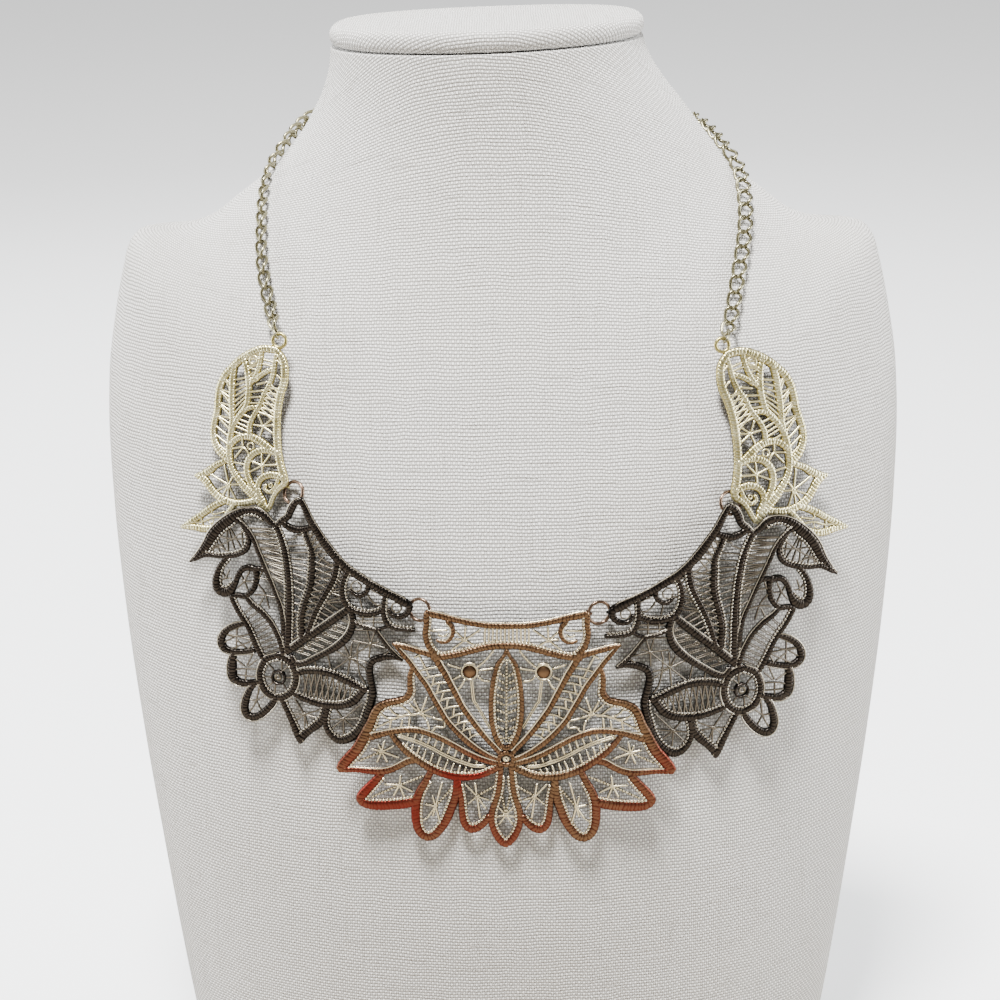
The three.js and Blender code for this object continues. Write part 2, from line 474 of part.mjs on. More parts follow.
// A wire bent into a closed loop. centreAt gives the wire's centre for a turn of 0 to 2 pi, and
// axis is the direction that the loop is seen along.
function wireLoop(centreAt, axis, wire, segments, sides) {
  const points = [];
  const triangles = [];
  const nudge = 0.001;
  for (let i = 0; i < segments; i++) {
    const a = turnOf(i, segments);
    const centre = centreAt(a);
    const along = centreAt(a + nudge).sub(centreAt(a - nudge)).normalize();
    const outward = along.clone().cross(axis).normalize();
    const up = outward.clone().cross(along);
    for (let j = 0; j < sides; j++) {
      const b = turnOf(j + 0.5, sides);
      points.push(centre.clone()
        .addScaledVector(outward, (wire / 2) * Math.cos(b))
        .addScaledVector(up, (wire / 2) * Math.sin(b)));
      const here = i * sides + j;
      const beside = i * sides + ((j + 1) % sides);
      const ahead = ((i + 1) % segments) * sides;
      triangles.push(here, ahead + j, beside);
      triangles.push(beside, ahead + j, ahead + ((j + 1) % sides));
    }
  }
  return geometryFrom(points, triangles);
}

// A round ring of wire about a centre and an axis.
function ring(centre, axis, { radius, wire }, segments = 16, sides = 6) {
  const geometry = new THREE.TorusGeometry(radius, wire / 2, sides, segments);
  const turn = new THREE.Quaternion().setFromUnitVectors(vec(0, 0, 1), axis.clone().normalize());
  return geometry.applyQuaternion(turn).translate(centre.x, centre.y, centre.z);
}

// ---- the bust -------------------------------------------------------------------------------
// One row of the bust at a level between the table's rows, by shape-keeping cubic pieces.
function bustRow(level) {
  const last = BUST_ROWS.length - 1;
  const i = Math.min(Math.floor(level), last - 1);
  const f = level - i;
  const rise = (k, c) => BUST_ROWS[k + 1][c] - BUST_ROWS[k][c];
  const endSlope = (near, next) => {
    const slope = (3 * near - next) / 2;
    if (slope * near <= 0) return 0;
    return near * next < 0 && Math.abs(slope) > Math.abs(3 * near) ? 3 * near : slope;
  };
  const slopeAt = (k, c) => {
    if (k === 0) return endSlope(rise(0, c), rise(1, c));
    if (k === last) return endSlope(rise(last - 1, c), rise(last - 2, c));
    const [below, above] = [rise(k - 1, c), rise(k, c)];
    return below * above <= 0 ? 0 : 2 / (1 / below + 1 / above);
  };
  return BUST_ROWS[i].map((value, c) => (2 * f ** 3 - 3 * f ** 2 + 1) * value
    + (f ** 3 - 2 * f ** 2 + f) * slopeAt(i, c)
    + (3 * f ** 2 - 2 * f ** 3) * BUST_ROWS[i + 1][c]
    + (f ** 3 - f ** 2) * slopeAt(i + 1, c));
}

// A point of the bust's skin: its level, and its turn from the front in degrees.
function bustPoint(level, turn) {
  const [half, sideZ, sideY, frontY, frontZ, backY, backZ, lean] = bustRow(level);
  const [cosine, sine] = [Math.cos(rad(turn)), Math.sin(rad(turn))];
  const front = Math.max(cosine, 0);
  const back = Math.max(-cosine, 0);
  const fullness = cosine >= 0 ? 1 : BACK_FULLNESS;
  const x = lean + half * Math.sign(sine) * Math.abs(sine) ** fullness;
  const y = sideY + (frontY - sideY) * front + (backY - sideY) * back ** BACK_FLATNESS;
  const z = sideZ + (frontZ - sideZ) * front ** 2 + (backZ - sideZ) * back ** 2;
  return vec(x, y, z - RIM_TILT * lean * (x - lean));
}

function bustNormal(level, turn) {
  const [rise, sweep] = [0.02, 1];
  const down = bustPoint(level + rise, turn).sub(bustPoint(level - rise, turn));
  const around = bustPoint(level, turn + sweep).sub(bustPoint(level, turn - sweep));
  return down.cross(around).normalize();
}

const bustRing = (level) => Array.from({ length: BUST_SEGMENTS },
  (_, j) => bustPoint(level, (360 * j) / BUST_SEGMENTS));

function bustForm() {
  const levels = [];
  for (let i = 0; i < BUST_ROWS.length; i++) {
    levels.push(i);
    if (i < SHOULDER_ROW) levels.push(i + 0.5);
  }
  return loft(levels.map(bustRing));
}

function bustCap() {
  const base = bustRing(0);
  const centre = middle(base);
  return loft(CAP_PROFILE.map(([inset, rise]) => base.map((p) => {
    const q = p.clone().lerp(centre, inset);
    q.z += CAP_GAP + rise * CAP_HEIGHT;
    return q;
  })));
}

// ---- the plates -----------------------------------------------------------------------------
// A point of a bent plate from its flat place: u across and v up (mirrored and scaled already),
// h above its back face.
function bend(seat, u, v, h) {
  const [yaw, lean, roll] = [rad(seat.yaw), rad(seat.lean), rad(seat.roll)];
  const normal = vec(Math.sin(yaw) * Math.cos(lean), -Math.cos(yaw) * Math.cos(lean), Math.sin(lean));
  const across = vec(Math.cos(yaw), Math.sin(yaw), 0);
  const up = normal.clone().cross(across);
  const aside = u * Math.cos(roll) - v * Math.sin(roll);
  const above = u * Math.sin(roll) + v * Math.cos(roll);
  const reach = seat.bend + h;
  const sink = above ** 2 / (2 * seat.bendUp);
  return vec(...seat.at)
    .addScaledVector(across, reach * Math.sin(aside / seat.bend))
    .addScaledVector(up, above)
    .addScaledVector(normal, reach * Math.cos(aside / seat.bend) - seat.bend - sink);
}

const place = (seat, [u, v], h) => bend(seat, u * seat.mirror * seat.scale, v * seat.scale, h);

function outwardAt(seat, at) {
  return place(seat, at, 1).sub(place(seat, at, 0)).normalize();
}

// The points of a line that it can't do without.
function thin(points) {
  const [first, last] = [points[0], points[points.length - 1]];
  const chord = new THREE.Line3(first, last);
  const strays = points.map((p) => p.distanceTo(chord.closestPointToPoint(p, true, vec(0, 0, 0))));
  const worst = strays.indexOf(Math.max(...strays));
  if (points.length < 3 || strays[worst] < RIB_TOLERANCE) return [first, last];
  return [...thin(points.slice(0, worst + 1)).slice(0, -1), ...thin(points.slice(worst))];
}

// One rib as a flat bar with blunt round ends. On the inside of a tight turn the bar is kept
// narrower than the turn, so that it never folds over itself.
function ribBar(rib, side, scale) {
  const rows = rib.map(([u, v, width]) => vec(u * side * scale, v * scale, width * scale));
  const curve = new THREE.CatmullRomCurve3(rows, false, "catmullrom", 0.5);
  const points = thin(curve.getSpacedPoints(Math.max(2, Math.round(curve.getLength() / RIB_STEP))));
  const count = points.length - 1;
  const flat = points.map((p) => new THREE.Vector2(p.x, p.y));
  const left = [];
  const right = [];
  let along = new THREE.Vector2();
  flat.forEach((p, i) => {
    const before = flat[Math.max(i - 1, 0)];
    const after = flat[Math.min(i + 1, count)];
    along = after.clone().sub(before).normalize();
    const aside = new THREE.Vector2(-along.y, along.x);
    const turn = p.clone().sub(before).cross(after.clone().sub(p));
    const sides = before.distanceTo(after) * p.distanceTo(before) * after.distanceTo(p);
    const inside = turn === 0 ? Infinity : (TURN_SHARE * sides) / (2 * Math.abs(turn));
    const half = points[i].z / 2;
    left.push(p.clone().addScaledVector(aside, turn > 0 ? Math.min(half, inside) : half));
    right.push(p.clone().addScaledVector(aside, turn < 0 ? -Math.min(half, inside) : -half));
  });
  const tip = (p, forward, half) => [0.5, -0.5].map((share) => p.clone()
    .addScaledVector(forward, half * Math.sqrt(1 - share ** 2))
    .addScaledVector(new THREE.Vector2(-forward.y, forward.x), half * share));
  const start = flat[0].clone().sub(flat[1]).normalize();
  const outline = [
    ...left,
    ...tip(flat[count], along, points[count].z / 2),
    ...right.reverse(),
    ...tip(flat[0], start, points[0].z / 2),
  ];
  const shape = new THREE.Shape(outline);
  return new THREE.ExtrudeGeometry(shape, { depth: PLATE_THICKNESS, bevelEnabled: false });
}

// A cast plate: its ribs joined flat, bent to its seat, with its fittings joined on.
function plate(name, seatName, ribs, sides = [1]) {
  const seat = SEATS[seatName];
  const bars = sides.flatMap((side) => Object.values(ribs)
    .map((rib) => ribBar(rib, side * seat.mirror, seat.scale)));
  const cast = join(name, bars);
  const { position } = cast.attributes;
  for (let i = 0; i < position.count; i++) {
    position.setXYZ(i, ...bend(seat, position.getX(i), position.getY(i), position.getZ(i)).toArray());
  }
  return join(name, [cast, ...bailsOf(seatName), ...castLoopsOf(seatName)]);
}

// The small rings behind a plate's corners that the jump rings pass through.
function bailsOf(seatName) {
  return Object.values(JOINTS).filter((ends) => seatName in ends).map((ends) => {
    const other = Object.keys(ends).find((key) => key !== seatName);
    const centre = place(SEATS[seatName], ends[seatName], -BAIL.depth);
    const towards = place(SEATS[other], ends[other], -BAIL.depth).sub(centre);
    return ring(centre, towards.cross(outwardAt(SEATS[seatName], ends[seatName])), BAIL, 12, 5);
  });
}

function castLoopsOf(seatName) {
  if (!(seatName in CHAIN_WAY)) return [];
  const seat = SEATS[seatName];
  return [ring(place(seat, LOOP_AT, PLATE_THICKNESS / 2), outwardAt(seat, LOOP_AT), CAST_LOOP)];
}

// ---- rings, connectors, chain and clasp -----------------------------------------------------
const squareTo = (v, axis) => v.addScaledVector(axis, -v.dot(axis) / axis.lengthSq()).normalize();

function jumpRing(ends) {
  const [a, b] = Object.entries(ends).map(([key, at]) => place(SEATS[key], at, -BAIL.depth));
  const outward = vec(0, 0, 0);
  Object.entries(ends).forEach(([key, at]) => outward.add(outwardAt(SEATS[key], at)));
  const across = b.clone().sub(a);
  const size = { radius: across.length() / 2, wire: JUMP_RING_WIRE };
  return ring(a.add(b).multiplyScalar(0.5), squareTo(outward, across), size, 20, 6);
}

// How a chain hangs from its plate: over the cast loop's top, towards its first resting place.
function hanging(seatName) {
  const seat = SEATS[seatName];
  const outward = outwardAt(seat, LOOP_AT);
  const [level, turn] = CHAIN_WAY[seatName][0];
  const rest = bustPoint(level, turn).addScaledVector(bustNormal(level, turn), CHAIN_LIFT);
  const loop = place(seat, LOOP_AT, PLATE_THICKNESS / 2);
  const top = loop.addScaledVector(squareTo(rest.clone().sub(loop), outward), CAST_LOOP.radius);
  const along = rest.sub(top).normalize();
  const connector = CONNECTOR.halfLength - (CAST_LOOP.wire + CONNECTOR.wire) / 2 - HANG_GAP;
  const chain = connector + CONNECTOR.halfLength - (CONNECTOR.wire + LINK.wire) / 2 - HANG_GAP;
  return {
    along,
    outward: squareTo(outward, along),
    connector: top.clone().addScaledVector(along, connector),
    chain: top.clone().addScaledVector(along, chain),
  };
}

// The oval ring that stands on edge between the cast loop and the chain.
function connectorRing(seatName) {
  const { along, outward, connector } = hanging(seatName);
  const centreAt = (a) => connector.clone()
    .addScaledVector(along, CONNECTOR.halfLength * Math.cos(a))
    .addScaledVector(outward, CONNECTOR.halfWidth * Math.sin(a));
  return wireLoop(centreAt, along.clone().cross(outward), CONNECTOR.wire, 16, 6);
}

// The line that a chain follows, as a curve with the direction away from the cloth.
function chainLine(seatName) {
  const { chain, outward } = hanging(seatName);
  const way = new THREE.CatmullRomCurve3(CHAIN_WAY[seatName].map(([level, turn]) => vec(level, turn, 0)));
  const points = [chain];
  const tips = [chain.clone().add(outward)];
  way.getPoints(WAY_POINTS).forEach(({ x: level, y: turn }) => {
    const nape = THREE.MathUtils.smoothstep(Math.abs(turn), NAPE_FROM, 180);
    const normal = bustNormal(level, turn);
    const lift = THREE.MathUtils.lerp(CHAIN_LIFT, NAPE_LIFT, nape);
    const point = bustPoint(level, turn).addScaledVector(normal, lift);
    points.push(point);
    tips.push(point.clone().add(normal));
  });
  const line = new THREE.CatmullRomCurve3(points);
  const edge = new THREE.CatmullRomCurve3(tips);
  line.arcLengthDivisions = 800;
  const length = line.getLength();
  return {
    count: 1 + Math.floor((length - LINK.length - CLASP.shortestHalf) / LINK.pitch),
    at: (reach) => {
      const t = line.getUtoTmapping(reach / length);
      const point = line.getPoint(t);
      return { point, outward: edge.getPoint(t).sub(point).normalize() };
    },
  };
}

// One link of the chain, twisted so that it lies flat between its neighbours.
function link(line, start) {
  const half = (LINK.length - LINK.wire) / 2;
  const wide = (LINK.width - LINK.wire) / 2;
  const [near, mid, far] = [0, half, 2 * half].map((reach) => line.at(start + reach));
  const along = far.point.clone().sub(near.point).normalize();
  const up = squareTo(mid.outward, along);
  const across = up.clone().cross(along);
  const centre = near.point.add(far.point).multiplyScalar(0.5);
  const centreAt = (a) => centre.clone()
    .addScaledVector(along, half * Math.cos(a))
    .addScaledVector(across, wide * Math.sin(a))
    .addScaledVector(up, LINK.twist * Math.sin(2 * a));
  return wireLoop(centreAt, up, LINK.wire, 8, 4);
}

function chain(name, line) {
  return join(name, Array.from({ length: line.count }, (_, i) => link(line, i * LINK.pitch)));
}

// A plain barrel between two loops, each round the last bar of a chain.
function clasp(lines) {
  const loops = [];
  const necks = lines.map((line) => {
    const end = (line.count - 1) * LINK.pitch + LINK.length - LINK.wire;
    const bar = line.at(end);
    const along = bar.point.clone().sub(line.at(end - 1).point).normalize();
    const centre = bar.point.addScaledVector(along, CLASP.loopOffset);
    loops.push(ring(centre, squareTo(bar.outward, along).cross(along), CLASP.loop));
    return centre.clone().addScaledVector(along, CLASP.loop.radius);
  });
  const [start, axis] = [necks[0], necks[1].clone().sub(necks[0])];
  const profile = CLASP.profile
    .map(([share, r]) => new THREE.Vector2(r * CLASP.radius, (share - 0.5) * axis.length()));
  const barrel = new THREE.LatheGeometry(profile, 12);
  const turn = new THREE.Quaternion().setFromUnitVectors(vec(0, 1, 0), axis.clone().normalize());
  const centre = start.clone().addScaledVector(axis, 0.5);
  barrel.applyQuaternion(turn).translate(centre.x, centre.y, centre.z);
  return join("clasp", [barrel, ...loops]);
}

// ---- the scene graph ------------------------------------------------------------------------
const FINISHES = {
  linen: { color: 0xe9e4da, metalness: 0, roughness: 0.9 },
  copper: { color: 0xa8745a, metalness: 0.9, roughness: 0.45 },
  gunmetal: { color: 0x4c4844, metalness: 0.9, roughness: 0.4 },
  champagne: { color: 0xcdc29c, metalness: 0.9, roughness: 0.35 },
  rose: { color: 0xb58a72, metalness: 0.9, roughness: 0.35 },
};

function part(name, geometry, finish) {
  const mesh = new THREE.Mesh(geometry, new THREE.MeshStandardMaterial({ name, ...FINISHES[finish] }));
  mesh.name = name;
  return mesh;
}

function assembly(...children) {
  const branch = new THREE.Group();
  branch.add(...children);
  return branch;
}

const lines = { endLeft: chainLine("endLeft"), endRight: chainLine("endRight") };

const bust = assembly(
  part("bust_form", bustForm(), "linen"),
  part("bust_cap", bustCap(), "linen"),
);
const bib = assembly(
  part("centre_plate", plate("centre_plate", "centre", CENTRE_RIBS, [1, -1]), "copper"),
  part("side_plate_left", plate("side_plate_left", "sideLeft", SIDE_RIBS), "gunmetal"),
  part("side_plate_right", plate("side_plate_right", "sideRight", SIDE_RIBS), "gunmetal"),
  part("end_plate_left", plate("end_plate_left", "endLeft", END_RIBS), "champagne"),
  part("end_plate_right", plate("end_plate_right", "endRight", END_RIBS), "champagne"),
  ...Object.entries(JOINTS).map(([name, ends]) => part(name, jumpRing(ends), "rose")),
);
const closure = assembly(
  part("connector_left", connectorRing("endLeft"), "champagne"),
  part("connector_right", connectorRing("endRight"), "champagne"),
  part("chain_left", chain("chain_left", lines.endLeft), "champagne"),
  part("chain_right", chain("chain_right", lines.endRight), "champagne"),
  part("clasp", clasp(Object.values(lines)), "champagne"),
);

const display = assembly(bust, bib, closure);
display.name = "bib_necklace_on_bust";
display.position.set(0, DEPTH_SHIFT, 0);
display.updateMatrixWorld(true);

export default display;
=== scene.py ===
"""A bib necklace of five cast filigree plates on a chain, worn by a linen-covered neck bust.

Lengths in the tables are millimetres in the bust's own axes: x to the wearer's left, y away from
the viewer, z up from the base. A plate's own axes are u across and v up over its flat drawing and
h out from its back. Everything is turned into metres of the shared frame when a mesh is made.
"""

import logging
from dataclasses import dataclass, field
from enum import Enum

import bpy
import numpy as np
from mathutils import Matrix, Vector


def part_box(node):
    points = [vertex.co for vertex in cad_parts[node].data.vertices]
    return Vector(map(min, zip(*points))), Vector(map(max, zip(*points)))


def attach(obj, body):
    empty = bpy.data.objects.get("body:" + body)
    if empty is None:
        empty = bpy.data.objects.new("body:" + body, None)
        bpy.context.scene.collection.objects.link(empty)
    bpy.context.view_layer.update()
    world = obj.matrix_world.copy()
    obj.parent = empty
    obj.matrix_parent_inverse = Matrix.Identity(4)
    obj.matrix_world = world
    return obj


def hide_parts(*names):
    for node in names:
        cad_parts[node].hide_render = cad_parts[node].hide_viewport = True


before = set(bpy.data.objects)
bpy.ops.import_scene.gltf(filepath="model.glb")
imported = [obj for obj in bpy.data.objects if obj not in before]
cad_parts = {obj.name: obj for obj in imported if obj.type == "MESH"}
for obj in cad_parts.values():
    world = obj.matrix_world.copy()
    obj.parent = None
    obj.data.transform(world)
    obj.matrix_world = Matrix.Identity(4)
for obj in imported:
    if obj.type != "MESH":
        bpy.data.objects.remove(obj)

Array = np.ndarray
Colour = tuple[float, float, float]
Point = tuple[float, float]
Place = tuple[float, float, float]
Line = tuple[Point, ...]
Socket = bpy.types.NodeSocket

MM_PER_M = 1000.0
LEAST_LENGTH = 1e-9
PARTS_PER_PIECE = 16  # parts that each piece of a smooth curve is measured in
OFF_AXIS = np.array([0.31, 0.52, 0.79])  # a direction that no ring faces
RING_CREST = 0.52

log = logging.getLogger("necklace")
logging.basicConfig(level=logging.INFO, format="%(name)s: %(message)s")


# ---- named options --------------------------------------------------------------------------
class Knots(Enum):
    """How a smooth curve times its way between its points."""

    UNIFORM = "uniform"
    CENTRIPETAL = "centripetal"


class Stitch(Enum):
    """The relief cast on the face of a rib."""

    WOUND = "slanting turns of a wound cord"
    RIDGED = "straight cross ridges"
    BRAIDED = "a braid of two strands"


class Edge(Enum):
    """A side of a rib, seen along its own direction; the value is the way to it."""

    LEFT = 1
    RIGHT = -1


class Trim(Enum):
    """What lines the edge of a rib."""

    SMOOTH = "a smooth wire"
    BEADED = "a row of beads"


class Lay(Enum):
    """How wires lace the space between two ribs."""

    RUNGS = "separate bars"
    ZIGZAG = "one wire to and fro"
    CROSSED = "two wires that cross"


# ---- curves and shells ----------------------------------------------------------------------
def spline(points: Array, share: Array, knots: Knots = Knots.UNIFORM) -> Array:
    """A smooth curve through points: each piece is a cubic that keeps the slopes at its two ends.

    A slope is the mean way past a point, timed evenly or by the square root of each distance.

    Args:
        points: One row per point, any number of columns.
        share: Places along the curve from 0 to 1, equal parts for every piece.
        knots: How the way between points is timed.

    Returns:
        One row per share.
    """
    points = np.asarray(points, float)
    line = np.array([2 * points[0] - points[1], *points, 2 * points[-1] - points[-2]])
    place = np.clip(share, 0, 1) * (len(points) - 1)
    i = np.minimum(place.astype(int), len(points) - 2)
    w = (place - i)[:, None]
    p0, p1, p2, p3 = (line[i + k] for k in range(4))
    if knots is Knots.UNIFORM:
        s1, s2 = (p2 - p0) / 2, (p3 - p1) / 2
    else:
        d0, d1, d2 = (np.sqrt(np.linalg.norm(b - a, axis=1, keepdims=True))
                      for a, b in ((p0, p1), (p1, p2), (p2, p3)))
        s1 = d1 * ((p1 - p0) / d0 - (p2 - p0) / (d0 + d1) + (p2 - p1) / d1)
        s2 = d1 * ((p2 - p1) / d1 - (p3 - p1) / (d1 + d2) + (p3 - p2) / d2)
    c2 = 3 * (p2 - p1) - 2 * s1 - s2
    c3 = 2 * (p1 - p2) + s1 + s2
    return p1 + w * (s1 + w * (c2 + w * c3))


def reach_of(points: Array) -> Array:
    """The distance along a line of points from its first point to each."""
    steps = np.linalg.norm(np.diff(points, axis=0), axis=1)
    return np.concatenate([[0.0], np.cumsum(steps)])


def columns_at(at: Array, reach: Array, rows: Array) -> Array:
    """Every column of rows, read off at distances along the line whose reach goes with them."""
    return np.stack([np.interp(at, reach, column) for column in rows.T], axis=-1)


def even_line(rows: Array, step: float) -> tuple[Array, Array]:
    """Points at even distances along the smooth curve through rows.

    Args:
        rows: One row per point; the first two columns are its place, the rest go along with it.
        step: The distance between points, rounded so that the curve's end is one of them.

    Returns:
        The points, and their reach along the curve.
    """
    rows = np.asarray(rows, float)
    fine = spline(rows, np.linspace(0, 1, PARTS_PER_PIECE * (len(rows) - 1) + 1))
    reach = reach_of(fine[:, :2])
    at = np.linspace(0, reach[-1], max(2, round(reach[-1] / step)) + 1)
    return columns_at(at, reach, fine), at


def unit(vectors: Array) -> Array:
    """Vectors brought to length 1."""
    return vectors / np.maximum(np.linalg.norm(vectors, axis=-1, keepdims=True), LEAST_LENGTH)


def square_to(vectors: Array, axis: Array) -> Array:
    """Vectors without their part along an axis, brought to length 1."""
    share = (vectors * axis).sum(-1, keepdims=True) / (axis * axis).sum(-1, keepdims=True)
    return unit(vectors - axis * share)


def turns(count: int) -> Array:
    """Angles that part a full turn evenly."""
    return 2 * np.pi * np.arange(count) / count


def ways_along(flat: Array) -> tuple[Array, Array]:
    """The ways along a flat line and to its left, at each of its points."""
    along = unit(np.gradient(flat, axis=0))
    return along, np.column_stack([-along[:, 1], along[:, 0]])


@dataclass
class Shell:
    """Part of a mesh: points in millimetres, faces of four or three corners, values per point."""

    points: Array
    quads: Array
    triangles: Array
    values: dict[str, Array]
    uv: Array | None = None


def grid_faces(rows: int, around: int, closed_rows: bool, turned: bool) -> Array:
    """Four-cornered faces over a grid whose rows each close on themselves.

    Args:
        rows: Rows of points.
        around: Points in a row.
        closed_rows: Whether the last row is joined to the first.
        turned: Whether the faces look the other way.

    Returns:
        One row of four point numbers per face.
    """
    i = np.arange(rows if closed_rows else rows - 1)[:, None]
    j = np.arange(around)[None, :]
    k = (i + 1) % rows
    m = (j + 1) % around
    quads = np.stack([i * around + j, i * around + m, k * around + m, k * around + j], axis=-1)
    quads = quads.reshape(-1, 4)
    return quads[:, ::-1] if turned else quads


def tube_shell(points: Array, turned: bool, values: dict[str, Array],
               closed: bool = False) -> Shell:
    """A closed skin over a grid of points: rows along a tube, columns round it.

    An open tube gets a middle point at each end that closes it.

    Args:
        points: Grid of points, rows along and columns round.
        turned: Whether the faces look the other way.
        values: Values on the same grid.
        closed: Whether the tube's last row is joined to its first.

    Returns:
        The shell.
    """
    rows, around = points.shape[:2]
    flat = points.reshape(-1, 3)
    quads = grid_faces(rows, around, closed, turned)
    if closed:
        return Shell(flat, quads, np.zeros((0, 3), int), {k: v.ravel() for k, v in values.items()})
    ends = np.stack([points[0].mean(0), points[-1].mean(0)])
    j = np.arange(around)
    m = (j + 1) % around
    first_end = rows * around
    last_row = first_end - around
    first = np.column_stack([np.full(around, first_end), m, j])
    last = np.column_stack([np.full(around, first_end + 1), last_row + j, last_row + m])
    fans = np.vstack([first, last])
    carried = {k: np.concatenate([v.ravel(), [v[0].mean(), v[-1].mean()]])
               for k, v in values.items()}
    return Shell(np.vstack([flat, ends]), quads, fans[:, ::-1] if turned else fans, carried)


def ringed(centres: Array, aside: Array, up: Array, radius: Array | float, sides: int) -> Array:
    """Rings of points round a line: centre plus radius times the turning pair of cross directions.

    Args:
        centres: Points along the line.
        aside: The first cross direction at each point.
        up: The second, a quarter turn on.
        radius: The ring's radius, one for all or one per point.
        sides: Points in a ring.

    Returns:
        Grid of points, rows along and columns round.
    """
    turn = turns(sides)[None, :, None]
    spread = np.broadcast_to(radius, len(centres))[:, None, None]
    return (centres[:, None] + spread * np.cos(turn) * aside[:, None]
            + spread * np.sin(turn) * up[:, None])


def wire_grid(centres: Array, outward: Array, radius: Array, sides: int) -> Array:
    """Rings of points round an open line.

    Args:
        centres: Points along the line.
        outward: A direction at each point that is roughly square to the line.
        radius: The wire's radius at each point.
        sides: Points in a ring.

    Returns:
        Grid of points, rows along and columns round.
    """
    along = unit(np.gradient(centres, axis=0))
    up = square_to(outward, along)
    return ringed(centres, np.cross(up, along), up, radius, sides)


def loop_shell(centres: Array, axis: Array, wire: float, sides: int,
               crest: Array | float = RING_CREST) -> Shell:
    """A wire of one thickness along a line that closes on itself.

    Args:
        centres: Points along the closed line, the first not repeated.
        axis: The direction that the loop is seen along.
        wire: The wire's thickness.
        sides: Points round the wire.
        crest: Its crest value, one for all or one per row in a column.

    Returns:
        The shell.
    """
    along = unit(np.roll(centres, -1, axis=0) - np.roll(centres, 1, axis=0))
    outward = unit(np.cross(along, axis))
    points = ringed(centres, outward, np.cross(outward, along), wire / 2, sides)
    return tube_shell(points, True, {"crest": crest * np.ones(points.shape[:2])}, closed=True)


def ring_shell(centre: Array, axis: Array, radius: float, wire: float, rows: int, sides: int,
               crest: float = RING_CREST) -> Shell:
    """A round ring of wire: its line is a circle about the axis.

    Args:
        centre: The ring's middle.
        axis: The direction that it is seen along.
        radius: From the middle to the wire's centre.
        wire: The wire's thickness.
        rows: Points along the circle.
        sides: Points round the wire.
        crest: Its crest value.

    Returns:
        The shell.
    """
    axis = unit(axis)
    across = square_to(OFF_AXIS, axis)
    other = np.cross(axis, across)
    turn = turns(rows)[:, None]
    centres = centre + radius * (np.cos(turn) * across + np.sin(turn) * other)
    return loop_shell(centres, axis, wire, sides, crest)


def joined(shells: list[Shell]) -> Shell:
    """Several shells as one, their point numbers counted on."""
    starts = np.cumsum([0] + [len(s.points) for s in shells[:-1]])
    names = sorted({name for s in shells for name in s.values})
    values = {name: np.concatenate([s.values.get(name, np.zeros(len(s.points))) for s in shells])
              for name in names}
    return Shell(
        np.vstack([s.points for s in shells]),
        np.vstack([s.quads + start for s, start in zip(shells, starts)]),
        np.vstack([s.triangles + start for s, start in zip(shells, starts)]),
        values,
    )


def make_piece(name: str, shell: Shell, material: bpy.types.Material,
               node: str) -> bpy.types.Object:
    """A mesh object at the origin from a shell, dressed and riding on the display's one body.

    Args:
        name: The piece's name.
        shell: Its points in the bust's millimetres, faces and values.
        material: Its finish.
        node: The CAD node that it stands for.

    Returns:
        The new object.
    """
    mesh = bpy.data.meshes.new(name)
    faces = shell.quads.tolist() + shell.triangles.tolist()
    mesh.from_pydata(in_metres(shell.points), [], faces)
    for key, values in shell.values.items():
        attribute = mesh.attributes.new(key, "FLOAT", "POINT")
        attribute.data.foreach_set("value", values.astype(np.float32))
    if shell.uv is not None:
        layer = mesh.uv_layers.new(name="threads")
        layer.data.foreach_set("uv", shell.uv.astype(np.float32).ravel())
    mesh.polygons.foreach_set("use_smooth", np.ones(len(mesh.polygons), bool))
    mesh.materials.append(material)
    mesh.update()
    piece = bpy.data.objects.new(name, mesh)
    bpy.context.scene.collection.objects.link(piece)
    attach(piece, "root")
    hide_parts(node)
    log.info("%s: %d faces", name, len(mesh.polygons))
    return piece


